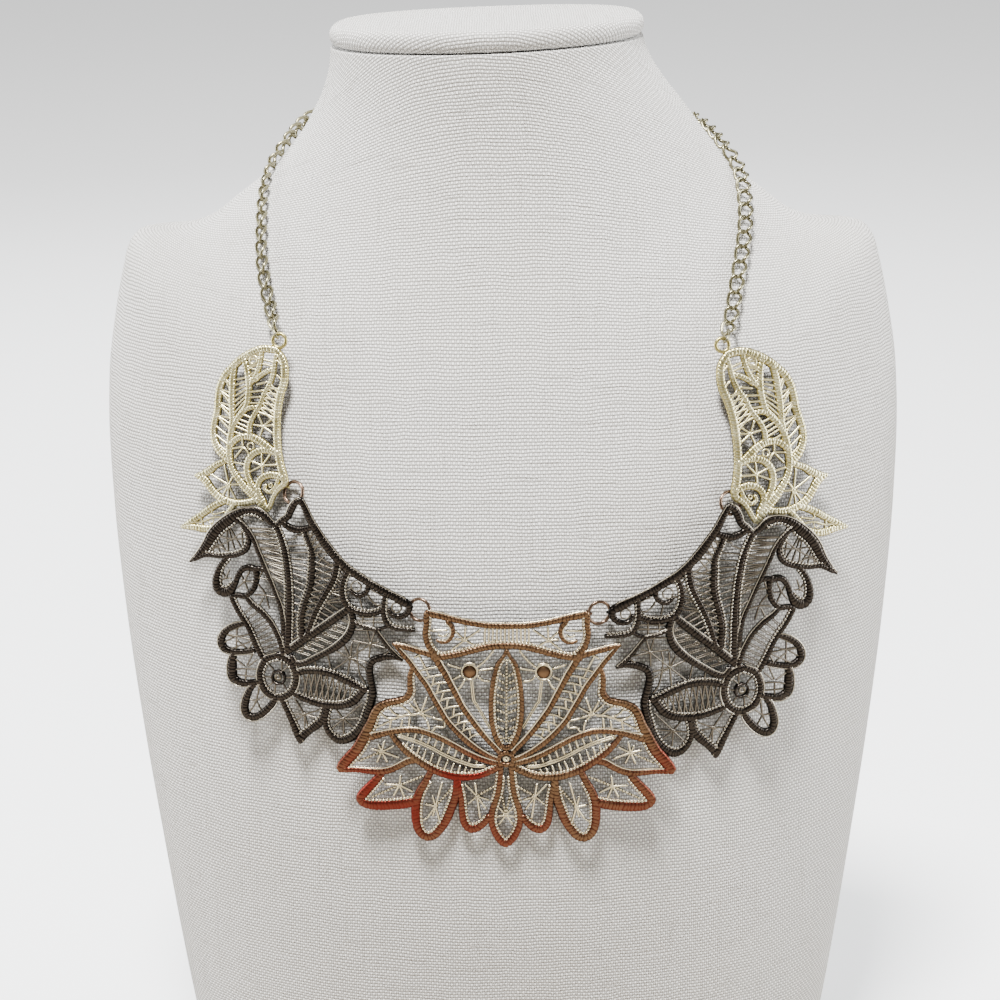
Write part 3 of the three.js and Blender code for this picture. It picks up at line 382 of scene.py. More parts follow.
# ---- finishes -------------------------------------------------------------------------------
@dataclass
class Graph:
    """Short hand for building a node tree."""

    tree: bpy.types.NodeTree

    def node(self, kind: str, **settings: object) -> bpy.types.Node:
        """A new node of a kind with its settings."""
        made = self.tree.nodes.new(kind)
        for key, value in settings.items():
            setattr(made, key, value)
        return made

    def feed(self, socket: Socket, value: object) -> None:
        """A socket's value, or a link to it where the value is another socket."""
        if isinstance(value, Socket):
            self.tree.links.new(value, socket)
        elif hasattr(socket.default_value, "__len__") and len(socket.default_value) == 4:
            socket.default_value = (*value, 1.0)
        else:
            socket.default_value = value

    def feed_all(self, node: bpy.types.Node, values: dict[str | int, object]) -> None:
        """Values or links for several inputs of a node."""
        for key, value in values.items():
            self.feed(node.inputs[key], value)

    def math(self, operation: str, *values: object) -> Socket:
        """The result of a sum on numbers or sockets."""
        made = self.node("ShaderNodeMath", operation=operation)
        self.feed_all(made, dict(enumerate(values)))
        return made.outputs[0]

    def vector(self, operation: str, *values: object) -> Socket:
        """The result of a sum on vectors."""
        made = self.node("ShaderNodeVectorMath", operation=operation)
        self.feed_all(made, dict(enumerate(values)))
        return made.outputs[0]

    def mix(self, share: object, first: object, second: object) -> Socket:
        """Two colours mixed by a share from 0 to 1."""
        made = self.node("ShaderNodeMix", data_type="RGBA")
        self.feed_all(made, {"Factor": share, 6: first, 7: second})
        return made.outputs[2]

    def noise(self, vector: object, scale: float, detail: float, roughness: float = 0.55) -> Socket:
        """A cloud of values from 0 to 1 over a vector."""
        made = self.node("ShaderNodeTexNoise")
        self.feed_all(made, {"Vector": vector, "Scale": scale, "Detail": detail,
                             "Roughness": roughness})
        return made.outputs["Fac"]

    def ramp(self, value: object, low: float, high: float, start: float = 0.0,
             end: float = 1.0) -> Socket:
        """A value between low and high, carried smoothly to start..end."""
        made = self.node("ShaderNodeMapRange", interpolation_type="SMOOTHSTEP")
        self.feed_all(made, dict(enumerate((value, low, high, start, end))))
        return made.outputs[0]

    def bump(self, strength: float, distance: float, height: Socket) -> Socket:
        """The normal of a surface that a height in metres has roughened."""
        made = self.node("ShaderNodeBump")
        self.feed_all(made, {"Strength": strength, "Distance": distance, "Height": height})
        return made.outputs[0]


def new_group(name: str, inputs: dict[str, str], outputs: dict[str, str]) -> Graph:
    """A shader node group with named sockets.

    Args:
        name: The group's name.
        inputs: Socket type per input name.
        outputs: Socket type per output name.

    Returns:
        The graph of the group, with its group input and output nodes in place.
    """
    tree = bpy.data.node_groups.new(name, "ShaderNodeTree")
    for way, sockets in (("INPUT", inputs), ("OUTPUT", outputs)):
        for key, kind in sockets.items():
            tree.interface.new_socket(name=key, in_out=way, socket_type=f"NodeSocket{kind}")
    tree.nodes.new("NodeGroupInput").name = "in"
    tree.nodes.new("NodeGroupOutput").name = "out"
    return Graph(tree)


def new_material(name: str) -> tuple[bpy.types.Material, Graph, bpy.types.Node]:
    """A material with its graph and its surface node."""
    made = bpy.data.materials.new(name)
    made.use_nodes = True
    return made, Graph(made.node_tree), made.node_tree.nodes["Principled BSDF"]


@dataclass(frozen=True)
class Weave:
    """Plain weave over thread counts, as a shared group.

    Where the product of the two threads' sines is above nothing the cross thread lies on top, as a
    bead that is long across; elsewhere the lengthwise thread does. Each bead is the sine over its
    own width, lower at its ends. Slow noise along each thread swells it into slubs.
    """

    drift_scale: float = 0.07
    drift: tuple[float, float, float] = (1.6, 1.6, 0.0)
    crossing: float = 0.12
    roundness: float = 0.7
    weft_middle: float = 0.45
    weft_ends: float = 0.55
    warp_middle: float = 0.42
    warp_ends: float = 0.12
    streaks: tuple[Place, Place] = ((0.035, 1.0, 0.0), (1.0, 0.03, 0.0))
    streak_scale: float = 1.1
    slub_from: float = 0.6
    slub_to: float = 0.78
    least_lift: float = 0.85
    no_gap_from: float = 0.92

    def group(self) -> bpy.types.NodeTree:
        """The group, from thread counts and slub strength to height, a gap mask for the painted
        shade between threads, slub and tint.
        """
        graph = new_group("plain_weave", {"Threads": "Vector", "Slubs": "Float"},
                          dict.fromkeys(("Height", "Gap Shade", "Slub", "Tint"), "Float"))
        source, sink = graph.tree.nodes["in"], graph.tree.nodes["out"]
        threads, slubs = source.outputs["Threads"], source.outputs["Slubs"]
        drift = graph.node("ShaderNodeTexNoise")
        graph.feed_all(drift, {"Vector": threads, "Scale": self.drift_scale, "Detail": 2.0})
        wandered = graph.vector("MULTIPLY_ADD", drift.outputs["Color"], self.drift, threads)
        split = graph.node("ShaderNodeSeparateXYZ")
        graph.feed(split.inputs[0], wandered)
        across, along = (graph.math("SINE", graph.math("MULTIPLY", split.outputs[axis], np.pi))
                         for axis in (0, 1))
        side = graph.ramp(graph.math("MULTIPLY", across, along), -self.crossing, self.crossing)
        wide, tall = graph.math("ABSOLUTE", across), graph.math("ABSOLUTE", along)
        weft = graph.math("MULTIPLY", graph.math("POWER", tall, self.roundness),
                          graph.math("MULTIPLY_ADD", wide, self.weft_middle, self.weft_ends))
        warp = graph.math("MULTIPLY", graph.math("POWER", wide, self.roundness),
                          graph.math("MULTIPLY_ADD", tall, self.warp_middle, self.warp_ends))
        lift = graph.math("ADD", graph.math("MULTIPLY", weft, side),
                          graph.math("MULTIPLY", warp, graph.math("SUBTRACT", 1.0, side)))
        yarns = [graph.noise(graph.vector("MULTIPLY", threads, streak), self.streak_scale, 1.0)
                 for streak in self.streaks]
        slub = graph.ramp(graph.math("MAXIMUM", *yarns), self.slub_from, self.slub_to)
        swell = graph.math("ADD", self.least_lift, graph.math("MULTIPLY", slub, slubs))
        graph.feed_all(sink, {
            "Height": graph.math("MULTIPLY", lift, swell),
            # the gap mask is 1 where the threads lie lowest; it places the painted shade between
            # threads
            "Gap Shade": graph.ramp(lift, 0.0, self.no_gap_from, 1.0, 0.0),
            "Slub": slub,
            "Tint": graph.math("MULTIPLY", graph.math("ADD", *yarns), 0.5),
        })
        return graph.tree


@dataclass(frozen=True)
class PatinaAndShade:
    """Colour, roughness and fine relief of old plated metal, as a shared group.

    The colour goes from the recess colour, which is painted shade with dark patina, to the body,
    to the crest colour, which is a painted highlight with real wear, as the crest value rises,
    blotched by slow noise; roughness is higher in recesses and where the blotches are dull.
    """

    blotch_scale: float = 260.0
    blotch: float = 0.5
    speck_scale: float = 2600.0
    body_from: float = 0.08
    body_to: float = 0.5
    wear_and_glint_from: float = 0.66
    wear_and_glint_to: float = 1.0
    speck_from: float = 0.1
    speck_to: float = 0.42
    dullness: float = 0.22
    recess_from: float = 0.1
    recess_to: float = 0.7
    recess_roughness: float = 0.16

    def group(self) -> bpy.types.NodeTree:
        """The group, from place, crest, colours and shine to colour, roughness and grain."""
        graph = new_group(
            "patina_and_shade",
            {"Coordinate": "Vector", "Crest": "Float", "Recess Shade": "Color", "Body": "Color",
             "Wear And Glint": "Color", "Shine": "Float"},
            {"Colour": "Color", "Roughness": "Float", "Grain": "Float"})
        given, sink = graph.tree.nodes["in"].outputs, graph.tree.nodes["out"]
        blotch = graph.noise(given["Coordinate"], self.blotch_scale, 4.0, 0.6)
        speck = graph.noise(given["Coordinate"], self.speck_scale, 2.0)
        shift = graph.math("MULTIPLY_ADD", blotch, self.blotch, -self.blotch / 2)
        uneven = graph.math("ADD", given["Crest"], shift)
        # low crest values take the recess colour, painted shade with dark patina; high ones take a
        # painted highlight that is also real wear, flecked by specks
        deep = graph.mix(graph.ramp(uneven, self.body_from, self.body_to), given["Recess Shade"],
                         given["Body"])
        wear_and_glint = graph.math("MULTIPLY", graph.ramp(uneven, self.wear_and_glint_from, self.wear_and_glint_to),
                          graph.ramp(speck, self.speck_from, self.speck_to))
        dull = graph.math("MULTIPLY_ADD", blotch, self.dullness, -self.dullness / 2)
        rough = graph.math("ADD", given["Shine"], dull)
        sunk = graph.ramp(given["Crest"], self.recess_from, self.recess_to,
                          self.recess_roughness, 0.0)
        graph.feed_all(sink, {"Colour": graph.mix(wear_and_glint, deep, given["Wear And Glint"]),
                              "Roughness": graph.math("ADD", rough, sunk), "Grain": speck})
        return graph.tree


@dataclass(frozen=True)
class LinenFinish:
    """Off-white linen in plain weave, with slubs, and painted shade in the gaps between the
    threads.
    """

    name: str = "linen_weave"
    thread: Colour = (0.93, 0.92, 0.90)
    # gap: the colour of the painted shade between the threads
    gap: Colour = (0.11, 0.10, 0.085)
    warm: Colour = (0.86, 0.83, 0.775)
    slubs: float = 0.5
    relief: float = 0.5
    bump: float = 0.8
    gap_shade_depth: float = 0.8
    patch_scale: float = 14.0
    patch_warmth: float = 0.55
    thread_warmth: float = 0.35
    roughness: float = 0.92
    sheen: float = 0.15
    sheen_roughness: float = 0.5

    def material(self, weave: bpy.types.NodeTree) -> bpy.types.Material:
        """The cloth as a material that reads the piece's thread counts."""
        made, graph, surface = new_material(self.name)
        threads = graph.node("ShaderNodeUVMap", uv_map="threads")
        cloth = graph.node("ShaderNodeGroup", node_tree=weave)
        graph.feed_all(cloth, {"Threads": threads.outputs[0], "Slubs": self.slubs})
        place = graph.node("ShaderNodeTexCoord").outputs["Object"]
        patch = graph.noise(place, self.patch_scale, 3.0)
        tinted = graph.mix(graph.ramp(patch, 0.35, 0.75, 0.0, self.patch_warmth), self.thread,
                           self.warm)
        toned = graph.mix(graph.ramp(cloth.outputs["Tint"], 0.35, 0.65, 0.0, self.thread_warmth),
                          tinted, self.warm)
        # painted shade: the gaps between the threads are coloured darker, as their shade
        gap = graph.math("MULTIPLY", cloth.outputs["Gap Shade"], self.gap_shade_depth)
        graph.feed_all(surface, {
            "Base Color": graph.mix(gap, toned, self.gap),
            "Roughness": self.roughness,
            "Sheen Weight": self.sheen,
            "Sheen Roughness": self.sheen_roughness,
            "Normal": graph.bump(self.bump, self.relief / MM_PER_M, cloth.outputs["Height"]),
        })
        return made


@dataclass(frozen=True)
class MetalFinish:
    """An old plated metal: dark in its recesses and low sides, as dark patina with painted shade,
    and bright on its crests, as real wear with a painted highlight.
    """

    name: str
    # the colour of low crest values: painted shade with dark patina
    recess_shade: Colour
    body: Colour
    # the colour of high crest values: a painted highlight with real wear
    wear_and_glint: Colour
    shine: float
    metallic: float = 0.9
    flush: Colour | None = None
    grain: float = 0.35
    grain_depth: float = 0.06

    def material(self, patina_and_shade: bpy.types.NodeTree) -> bpy.types.Material:
        """The metal as a material that reads the piece's crest values, and its flush if any."""
        made, graph, surface = new_material(self.name)
        # the crest value picks the colour: low values get painted shade with patina, high values a
        # painted highlight with wear
        crest = graph.node("ShaderNodeAttribute", attribute_name="crest")
        skin = graph.node("ShaderNodeGroup", node_tree=patina_and_shade)
        graph.feed_all(skin, {
            "Coordinate": graph.node("ShaderNodeTexCoord").outputs["Object"],
            "Crest": crest.outputs["Fac"],
            "Recess Shade": self.recess_shade,
            "Body": self.body,
            "Wear And Glint": self.wear_and_glint,
            "Shine": self.shine,
        })
        colour = skin.outputs["Colour"]
        if self.flush is not None:
            ruddy = graph.node("ShaderNodeAttribute", attribute_name="ruddy")
            colour = graph.mix(ruddy.outputs["Fac"], colour, self.flush)
        grain = graph.bump(self.grain, self.grain_depth / MM_PER_M, skin.outputs["Grain"])
        graph.feed_all(surface, {"Base Color": colour, "Roughness": skin.outputs["Roughness"],
                                 "Metallic": self.metallic, "Normal": grain})
        return made


# Each metal's colours run recess, body, worn: the recess colour is painted shade with dark patina,
# and the worn colour is a painted highlight with real wear.
COPPER_RIBS = MetalFinish("copper_ribs", (0.010, 0.005, 0.003), (0.058, 0.029, 0.016),
                          (0.20, 0.120, 0.066), 0.33, 0.95, (0.18, 0.020, 0.015))
COPPER_LININGS = MetalFinish("copper_linings", (0.03, 0.02, 0.010), (0.26, 0.195, 0.11),
                             (1.0, 0.92, 0.70), 0.24)
COPPER_LACE = MetalFinish("copper_lace", (0.004, 0.003, 0.0018), (0.046, 0.034, 0.018),
                          (0.90, 0.80, 0.54), 0.28)
GUNMETAL_RIBS = MetalFinish("gunmetal_ribs", (0.003, 0.002, 0.0015), (0.0075, 0.006, 0.005),
                            (0.052, 0.043, 0.035), 0.22)
GUNMETAL_LININGS = MetalFinish("gunmetal_linings", (0.004, 0.003, 0.002), (0.035, 0.029, 0.022),
                               (0.50, 0.465, 0.385), 0.24)
GUNMETAL_LACE = MetalFinish("gunmetal_lace", (0.003, 0.0022, 0.0015), (0.014, 0.011, 0.008),
                            (0.20, 0.177, 0.14), 0.32)
CHAMPAGNE_RIBS = MetalFinish("champagne_ribs", (0.030, 0.022, 0.006), (0.42, 0.36, 0.145),
                             (0.98, 0.93, 0.60), 0.30)
CHAMPAGNE_LACE = MetalFinish("champagne_lace", (0.014, 0.010, 0.004), (0.22, 0.18, 0.075),
                             (0.86, 0.79, 0.46), 0.32)
CHAMPAGNE_CHAIN = MetalFinish("champagne_chain", (0.03, 0.023, 0.010), (0.24, 0.222, 0.138),
                              (0.80, 0.75, 0.53), 0.24, grain=0.07)
ROSE_RINGS = MetalFinish("rose_bronze_rings", (0.012, 0.008, 0.005), (0.15, 0.10, 0.070),
                         (0.42, 0.31, 0.23), 0.22, grain=0.105)
LINEN = LinenFinish()


@dataclass
class Dressings:
    """The shared node groups, and one material for each finish, made when first asked for."""

    weave: bpy.types.NodeTree
    patina_and_shade: bpy.types.NodeTree
    made: dict[str, bpy.types.Material] = field(default_factory=dict)

    def of(self, finish: LinenFinish | MetalFinish) -> bpy.types.Material:
        """The material of a finish."""
        if finish.name not in self.made:
            group = self.weave if isinstance(finish, LinenFinish) else self.patina_and_shade
            self.made[finish.name] = finish.material(group)
        return self.made[finish.name]


# ---- the bust -------------------------------------------------------------------------------
# One row per level, from the rim down to the base:
# [half width, side z, side y, front y, front z, back y, back z, lean]
BUST_ROWS = (
    (44.0, 312.2, 5, -30.0, 312.2, 40.0, 312.2, -3.5),
    (45.4, 306.5, 5, -30.4, 306.0, 40.0, 306.5, -2.7),
    (48.3, 300.5, 5, -31.0, 299.0, 40.0, 300.0, -1.4),
    (52.5, 294.0, 5, -32.3, 289.5, 40.0, 292.5, 0.0),
    (58.0, 286.0, 4, -35.0, 277.0, 39.5, 283.5, 0.8),
    (67.0, 276.0, 3, -40.0, 261.0, 38.0, 272.0, 0.6),
    (75.5, 269.3, 2, -45.0, 248.0, 36.0, 263.0, 0.3),
    (84.0, 263.3, 1, -50.0, 236.0, 34.0, 255.0, 0),
    (91.0, 261.4, 0, -55.0, 223.0, 32.0, 247.0, 0),
    (98.0, 261.2, 0, -59.5, 210.0, 30.0, 240.0, 0),
    (103.2, 260.4, 0, -63.5, 198.0, 29.0, 232.0, 0),
    (106.6, 257.0, 0, -66.5, 187.5, 28.0, 224.0, 0),
    (108.6, 250.0, -1, -69.0, 177.0, 27.0, 214.0, 0),
    (111.2, 238.0, -2, -71.0, 165.0, 26.0, 202.0, 0),
    (113.6, 222.0, -4, -72.8, 151.0, 25.0, 186.0, 0),
    (114.4, 204.0, -6, -74.0, 136.0, 24.0, 168.0, 0),
    (113.8, 182.0, -9, -75.0, 119.0, 23.0, 148.0, 0),
    (111.6, 150.0, -13, -75.0, 97.0, 22.0, 121.0, 0),
    (108.2, 115.0, -16, -74.3, 75.0, 22.0, 94.0, 0),
    (104.4, 82.0, -18, -73.0, 54.0, 22.0, 68.0, 0),
    (100.6, 50.0, -19, -71.5, 33.0, 22.0, 42.0, 0),
    (97.0, 24.0, -20, -70.0, 16.0, 22.0, 20.0, 0),
    (93.2, 0.0, -20, -68.5, 0.0, 22.0, 0.0, 0),
)
FOREMOST = -75.0
DEPTH_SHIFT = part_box("bust_form")[0].y * MM_PER_M - FOREMOST


def in_metres(points: Array) -> Array:
    """Points of the bust's millimetres in the shared frame's metres."""
    return (points + np.array([0.0, DEPTH_SHIFT, 0.0])) / MM_PER_M


@dataclass(frozen=True)
class Bust:
    """The neck bust: a linen-covered form with a padded cap over its neck."""

    back_fullness: float = 0.85
    back_flatness: float = 0.7
    rim_tilt: float = 0.008
    turns: int = 288
    levels: int = 221
    row_pitch: float = 0.966
    column_pitch: float = 0.695
    cap_gap: float = 0.3
    cap_height: float = 5.9
    cap_dome: float = 1.1
    cap_flat: float = 0.90
    cap_flat_rows: int = 30
    cap_edge: float = 0.935
    cap_roll: float = 0.07
    cap_edge_rows: int = 25
    cap_middle: float = 0.02
    cap_underside: float = 0.4
    cap_roundness: tuple[float, float] = (0.9, 0.8)
    cap_dome_reach: float = 0.93

    def row(self, level: Array) -> Array:
        """The table's row at any level: cubic pieces whose slope at a row is the harmonic mean of
        the rises on its two sides, or nothing where they point apart."""
        rows = np.array(BUST_ROWS, float)
        rise = np.diff(rows, axis=0)
        before, after = rise[:-1], rise[1:]
        same = before * after > 0
        slopes = np.zeros_like(rows)
        slopes[1:-1] = np.where(same, 2 * before * after / np.where(same, before + after, 1), 0)
        for end, near, far in ((0, rise[0], rise[1]), (-1, rise[-1], rise[-2])):
            slope = (3 * near - far) / 2
            slope = np.where(slope * near <= 0, 0, slope)
            steep = (near * far < 0) & (abs(slope) > abs(3 * near))
            slopes[end] = np.where(steep, 3 * near, slope)
        level = np.asarray(level, float)
        i = np.clip(level.astype(int), 0, len(rows) - 2)
        f = (level - i)[..., None]
        return ((2 * f**3 - 3 * f**2 + 1) * rows[i] + (f**3 - 2 * f**2 + f) * slopes[i]
                + (3 * f**2 - 2 * f**3) * rows[i + 1] + (f**3 - f**2) * slopes[i + 1])

    def point(self, level: Array, turn: Array) -> Array:
        """The skin: x is the half width times the sine of the turn; y and z go from the side's to
        the front's by the cosine and its square, and to the back's by flatter powers of it.

        Args:
            level: The table's row, counted from the rim.
            turn: The angle from the front, in radians.

        Returns:
            Points with one more axis of length 3.
        """
        parts = np.moveaxis(self.row(level), -1, 0)
        half, side_z, side_y, front_y, front_z, back_y, back_z, lean = parts
        cosine, sine = np.cos(turn), np.sin(turn)
        front, back = np.maximum(cosine, 0), np.maximum(-cosine, 0)
        fullness = np.where(cosine >= 0, 1.0, self.back_fullness)
        x = lean + half * np.sign(sine) * np.abs(sine) ** fullness
        y = side_y + (front_y - side_y) * front + (back_y - side_y) * back**self.back_flatness
        z = side_z + (front_z - side_z) * front**2 + (back_z - side_z) * back**2
        return np.stack(np.broadcast_arrays(x, y, z - self.rim_tilt * lean * (x - lean)), axis=-1)

    def normal(self, level: Array, turn: Array) -> Array:
        """The way out of the skin: across the way down it and the way round it."""
        rise, sweep = 0.02, np.radians(1)
        down = self.point(level + rise, turn) - self.point(level - rise, turn)
        around = self.point(level, turn + sweep) - self.point(level, turn - sweep)
        return unit(np.cross(down, around))

    def form_shell(self) -> Shell:
        """The skin over a grid of levels and turns. A point's thread counts are its distance round
        its level from the front line and its distance up its own turn from the base."""
        level = np.linspace(0, len(BUST_ROWS) - 1, self.levels)
        turn = np.linspace(-np.pi, np.pi, self.turns + 1)
        grid = self.point(level[:, None], turn[None, :])
        round_steps = np.linalg.norm(np.diff(grid, axis=1), axis=2)
        around = np.cumsum(round_steps, axis=1)
        around = np.concatenate([np.zeros((self.levels, 1)), around], axis=1)
        around -= around[:, self.turns // 2][:, None]
        down_steps = np.linalg.norm(np.diff(grid, axis=0), axis=2)
        down = np.concatenate([np.zeros((1, self.turns + 1)), np.cumsum(down_steps, axis=0)])
        up = down[-1:] - down
        threads = np.stack([around / self.column_pitch, up / self.row_pitch], axis=-1)
        return self.skin(grid, threads)

    def skin(self, grid: Array, threads: Array) -> Shell:
        """A closed skin with thread counts at its corners.

        Args:
            grid: Grid of points whose last column repeats the first.
            threads: Two thread counts per point; the last column has its own.

        Returns:
            The shell.
        """
        rows, wide = grid.shape[:2]
        shell = tube_shell(grid[:, :-1], True, {})
        i = np.arange(rows - 1)[:, None]
        j = np.arange(wide - 1)[None, :]
        corners = [threads[i, j], threads[i, j + 1], threads[i + 1, j + 1], threads[i + 1, j]]
        on_quads = np.stack(corners[::-1], axis=2).reshape(-1, 2)
        k = np.arange(wide - 1)
        poles = [np.tile(threads[end, :-1].mean(0), (wide - 1, 1)) for end in (0, -1)]
        first = np.stack([threads[0, k], threads[0, k + 1], poles[0]], axis=1)
        last = np.stack([threads[-1, k + 1], threads[-1, k], poles[1]], axis=1)
        shell.uv = np.vstack([on_quads, first.reshape(-1, 2), last.reshape(-1, 2)])
        return shell

    def cap_shell(self) -> Shell:
        """The cap: the rim's outline carried from the middle of the top, out over a soft edge and
        under it. A point's thread counts are its distance from the middle along the cloth, laid
        flat in its own direction."""
        turn = np.linspace(-np.pi, np.pi, self.turns + 1)
        rim = self.point(np.zeros_like(turn), turn)
        centre = rim[:-1].mean(0)
        edge = np.linspace(0, np.pi, self.cap_edge_rows)
        flat = np.linspace(self.cap_middle, self.cap_flat, self.cap_flat_rows)
        underside = [self.cap_flat, self.cap_underside, self.cap_middle]
        out, down = self.cap_roundness
        rolled = self.cap_edge + self.cap_roll * np.sin(edge) ** out
        share = np.concatenate([flat, rolled, underside])
        top = self.cap_height + self.cap_dome * (1 - (flat / self.cap_dome_reach) ** 2)
        curve = self.cap_height / 2 * (1 + np.sign(np.cos(edge)) * np.abs(np.cos(edge)) ** down)
        rise = self.cap_gap + np.concatenate([top, curve, np.zeros(len(underside))])
        grid = centre + (rim - centre)[None] * share[:, None, None]
        inner = np.minimum(share, 1)[:, None]
        grid[..., 2] = rim[None, :, 2] * inner + centre[2] * (1 - inner) + rise[:, None]
        steps = np.linalg.norm(np.diff(grid, axis=0), axis=2)
        reach = np.concatenate([np.zeros((1, grid.shape[1])), np.cumsum(steps, axis=0)]) + 1.0
        way = unit((rim - centre)[:, :2])
        threads = way[None] * reach[..., None] / np.array([self.column_pitch, self.row_pitch])
        return self.skin(grid, threads)

    def build(self, dressings: Dressings) -> list[bpy.types.Object]:
        """The form and the cap as pieces."""
        linen = dressings.of(LINEN)
        return [
            make_piece("bust_linen_form", self.form_shell(), linen, "bust_form"),
            make_piece("bust_linen_cap", self.cap_shell(), linen, "bust_cap"),
        ]


BUST = Bust()


# ---- the plates' drawings -------------------------------------------------------------------
Ribs = dict[str, tuple[Place, ...]]


@dataclass(frozen=True)
class Lining:
    """A wire or bead row along an edge of a rib, over a share of the rib's length."""

    rib: str
    edge: Edge
    trim: Trim
    start: float = 0.0
    end: float = 1.0


def lined(edge: Edge, trim: Trim, *ribs: str) -> tuple[Lining, ...]:
    """The same lining along the whole of several ribs."""
    return tuple(Lining(rib, edge, trim) for rib in ribs)


@dataclass(frozen=True)
class Lacing:
    """Wires across the space between two ribs, each over a share of its length."""

    ribs: tuple[str, str]
    first: tuple[float, float]
    second: tuple[float, float]
    count: int
    lay: Lay = Lay.RUNGS


@dataclass(frozen=True)
class Spider:
    """A boss with legs that run to the ribs round it. Legs in beads end on the points of beaded."""

    at: Point
    legs: Line
    beaded: Line = ()
    boss: float = 0.62


@dataclass(frozen=True)
class Ring:
    """A small cast ring in the lace: its middle, radius and wire."""

    at: Point
    radius: float
    wire: float


@dataclass(frozen=True)
class Drawing:
    """Everything that a plate's face shows, over its flat axes.

    [across, up, width] along each rib; wires, beads and doubles are lines of [across, up]; discs
    are domes of [across, up, radius] in the ribs' metal.
    """

    ribs: Ribs
    stitch: Stitch
    linings: tuple[Lining, ...] = ()
    lacings: tuple[Lacing, ...] = ()
    spiders: tuple[Spider, ...] = ()
    rings: tuple[Ring, ...] = ()
    wires: tuple[Line, ...] = ()
    doubles: tuple[Line, ...] = ()
    beads: tuple[Line, ...] = ()
    halves: tuple[int, ...] = (1,)
    discs: tuple[Place, ...] = ()


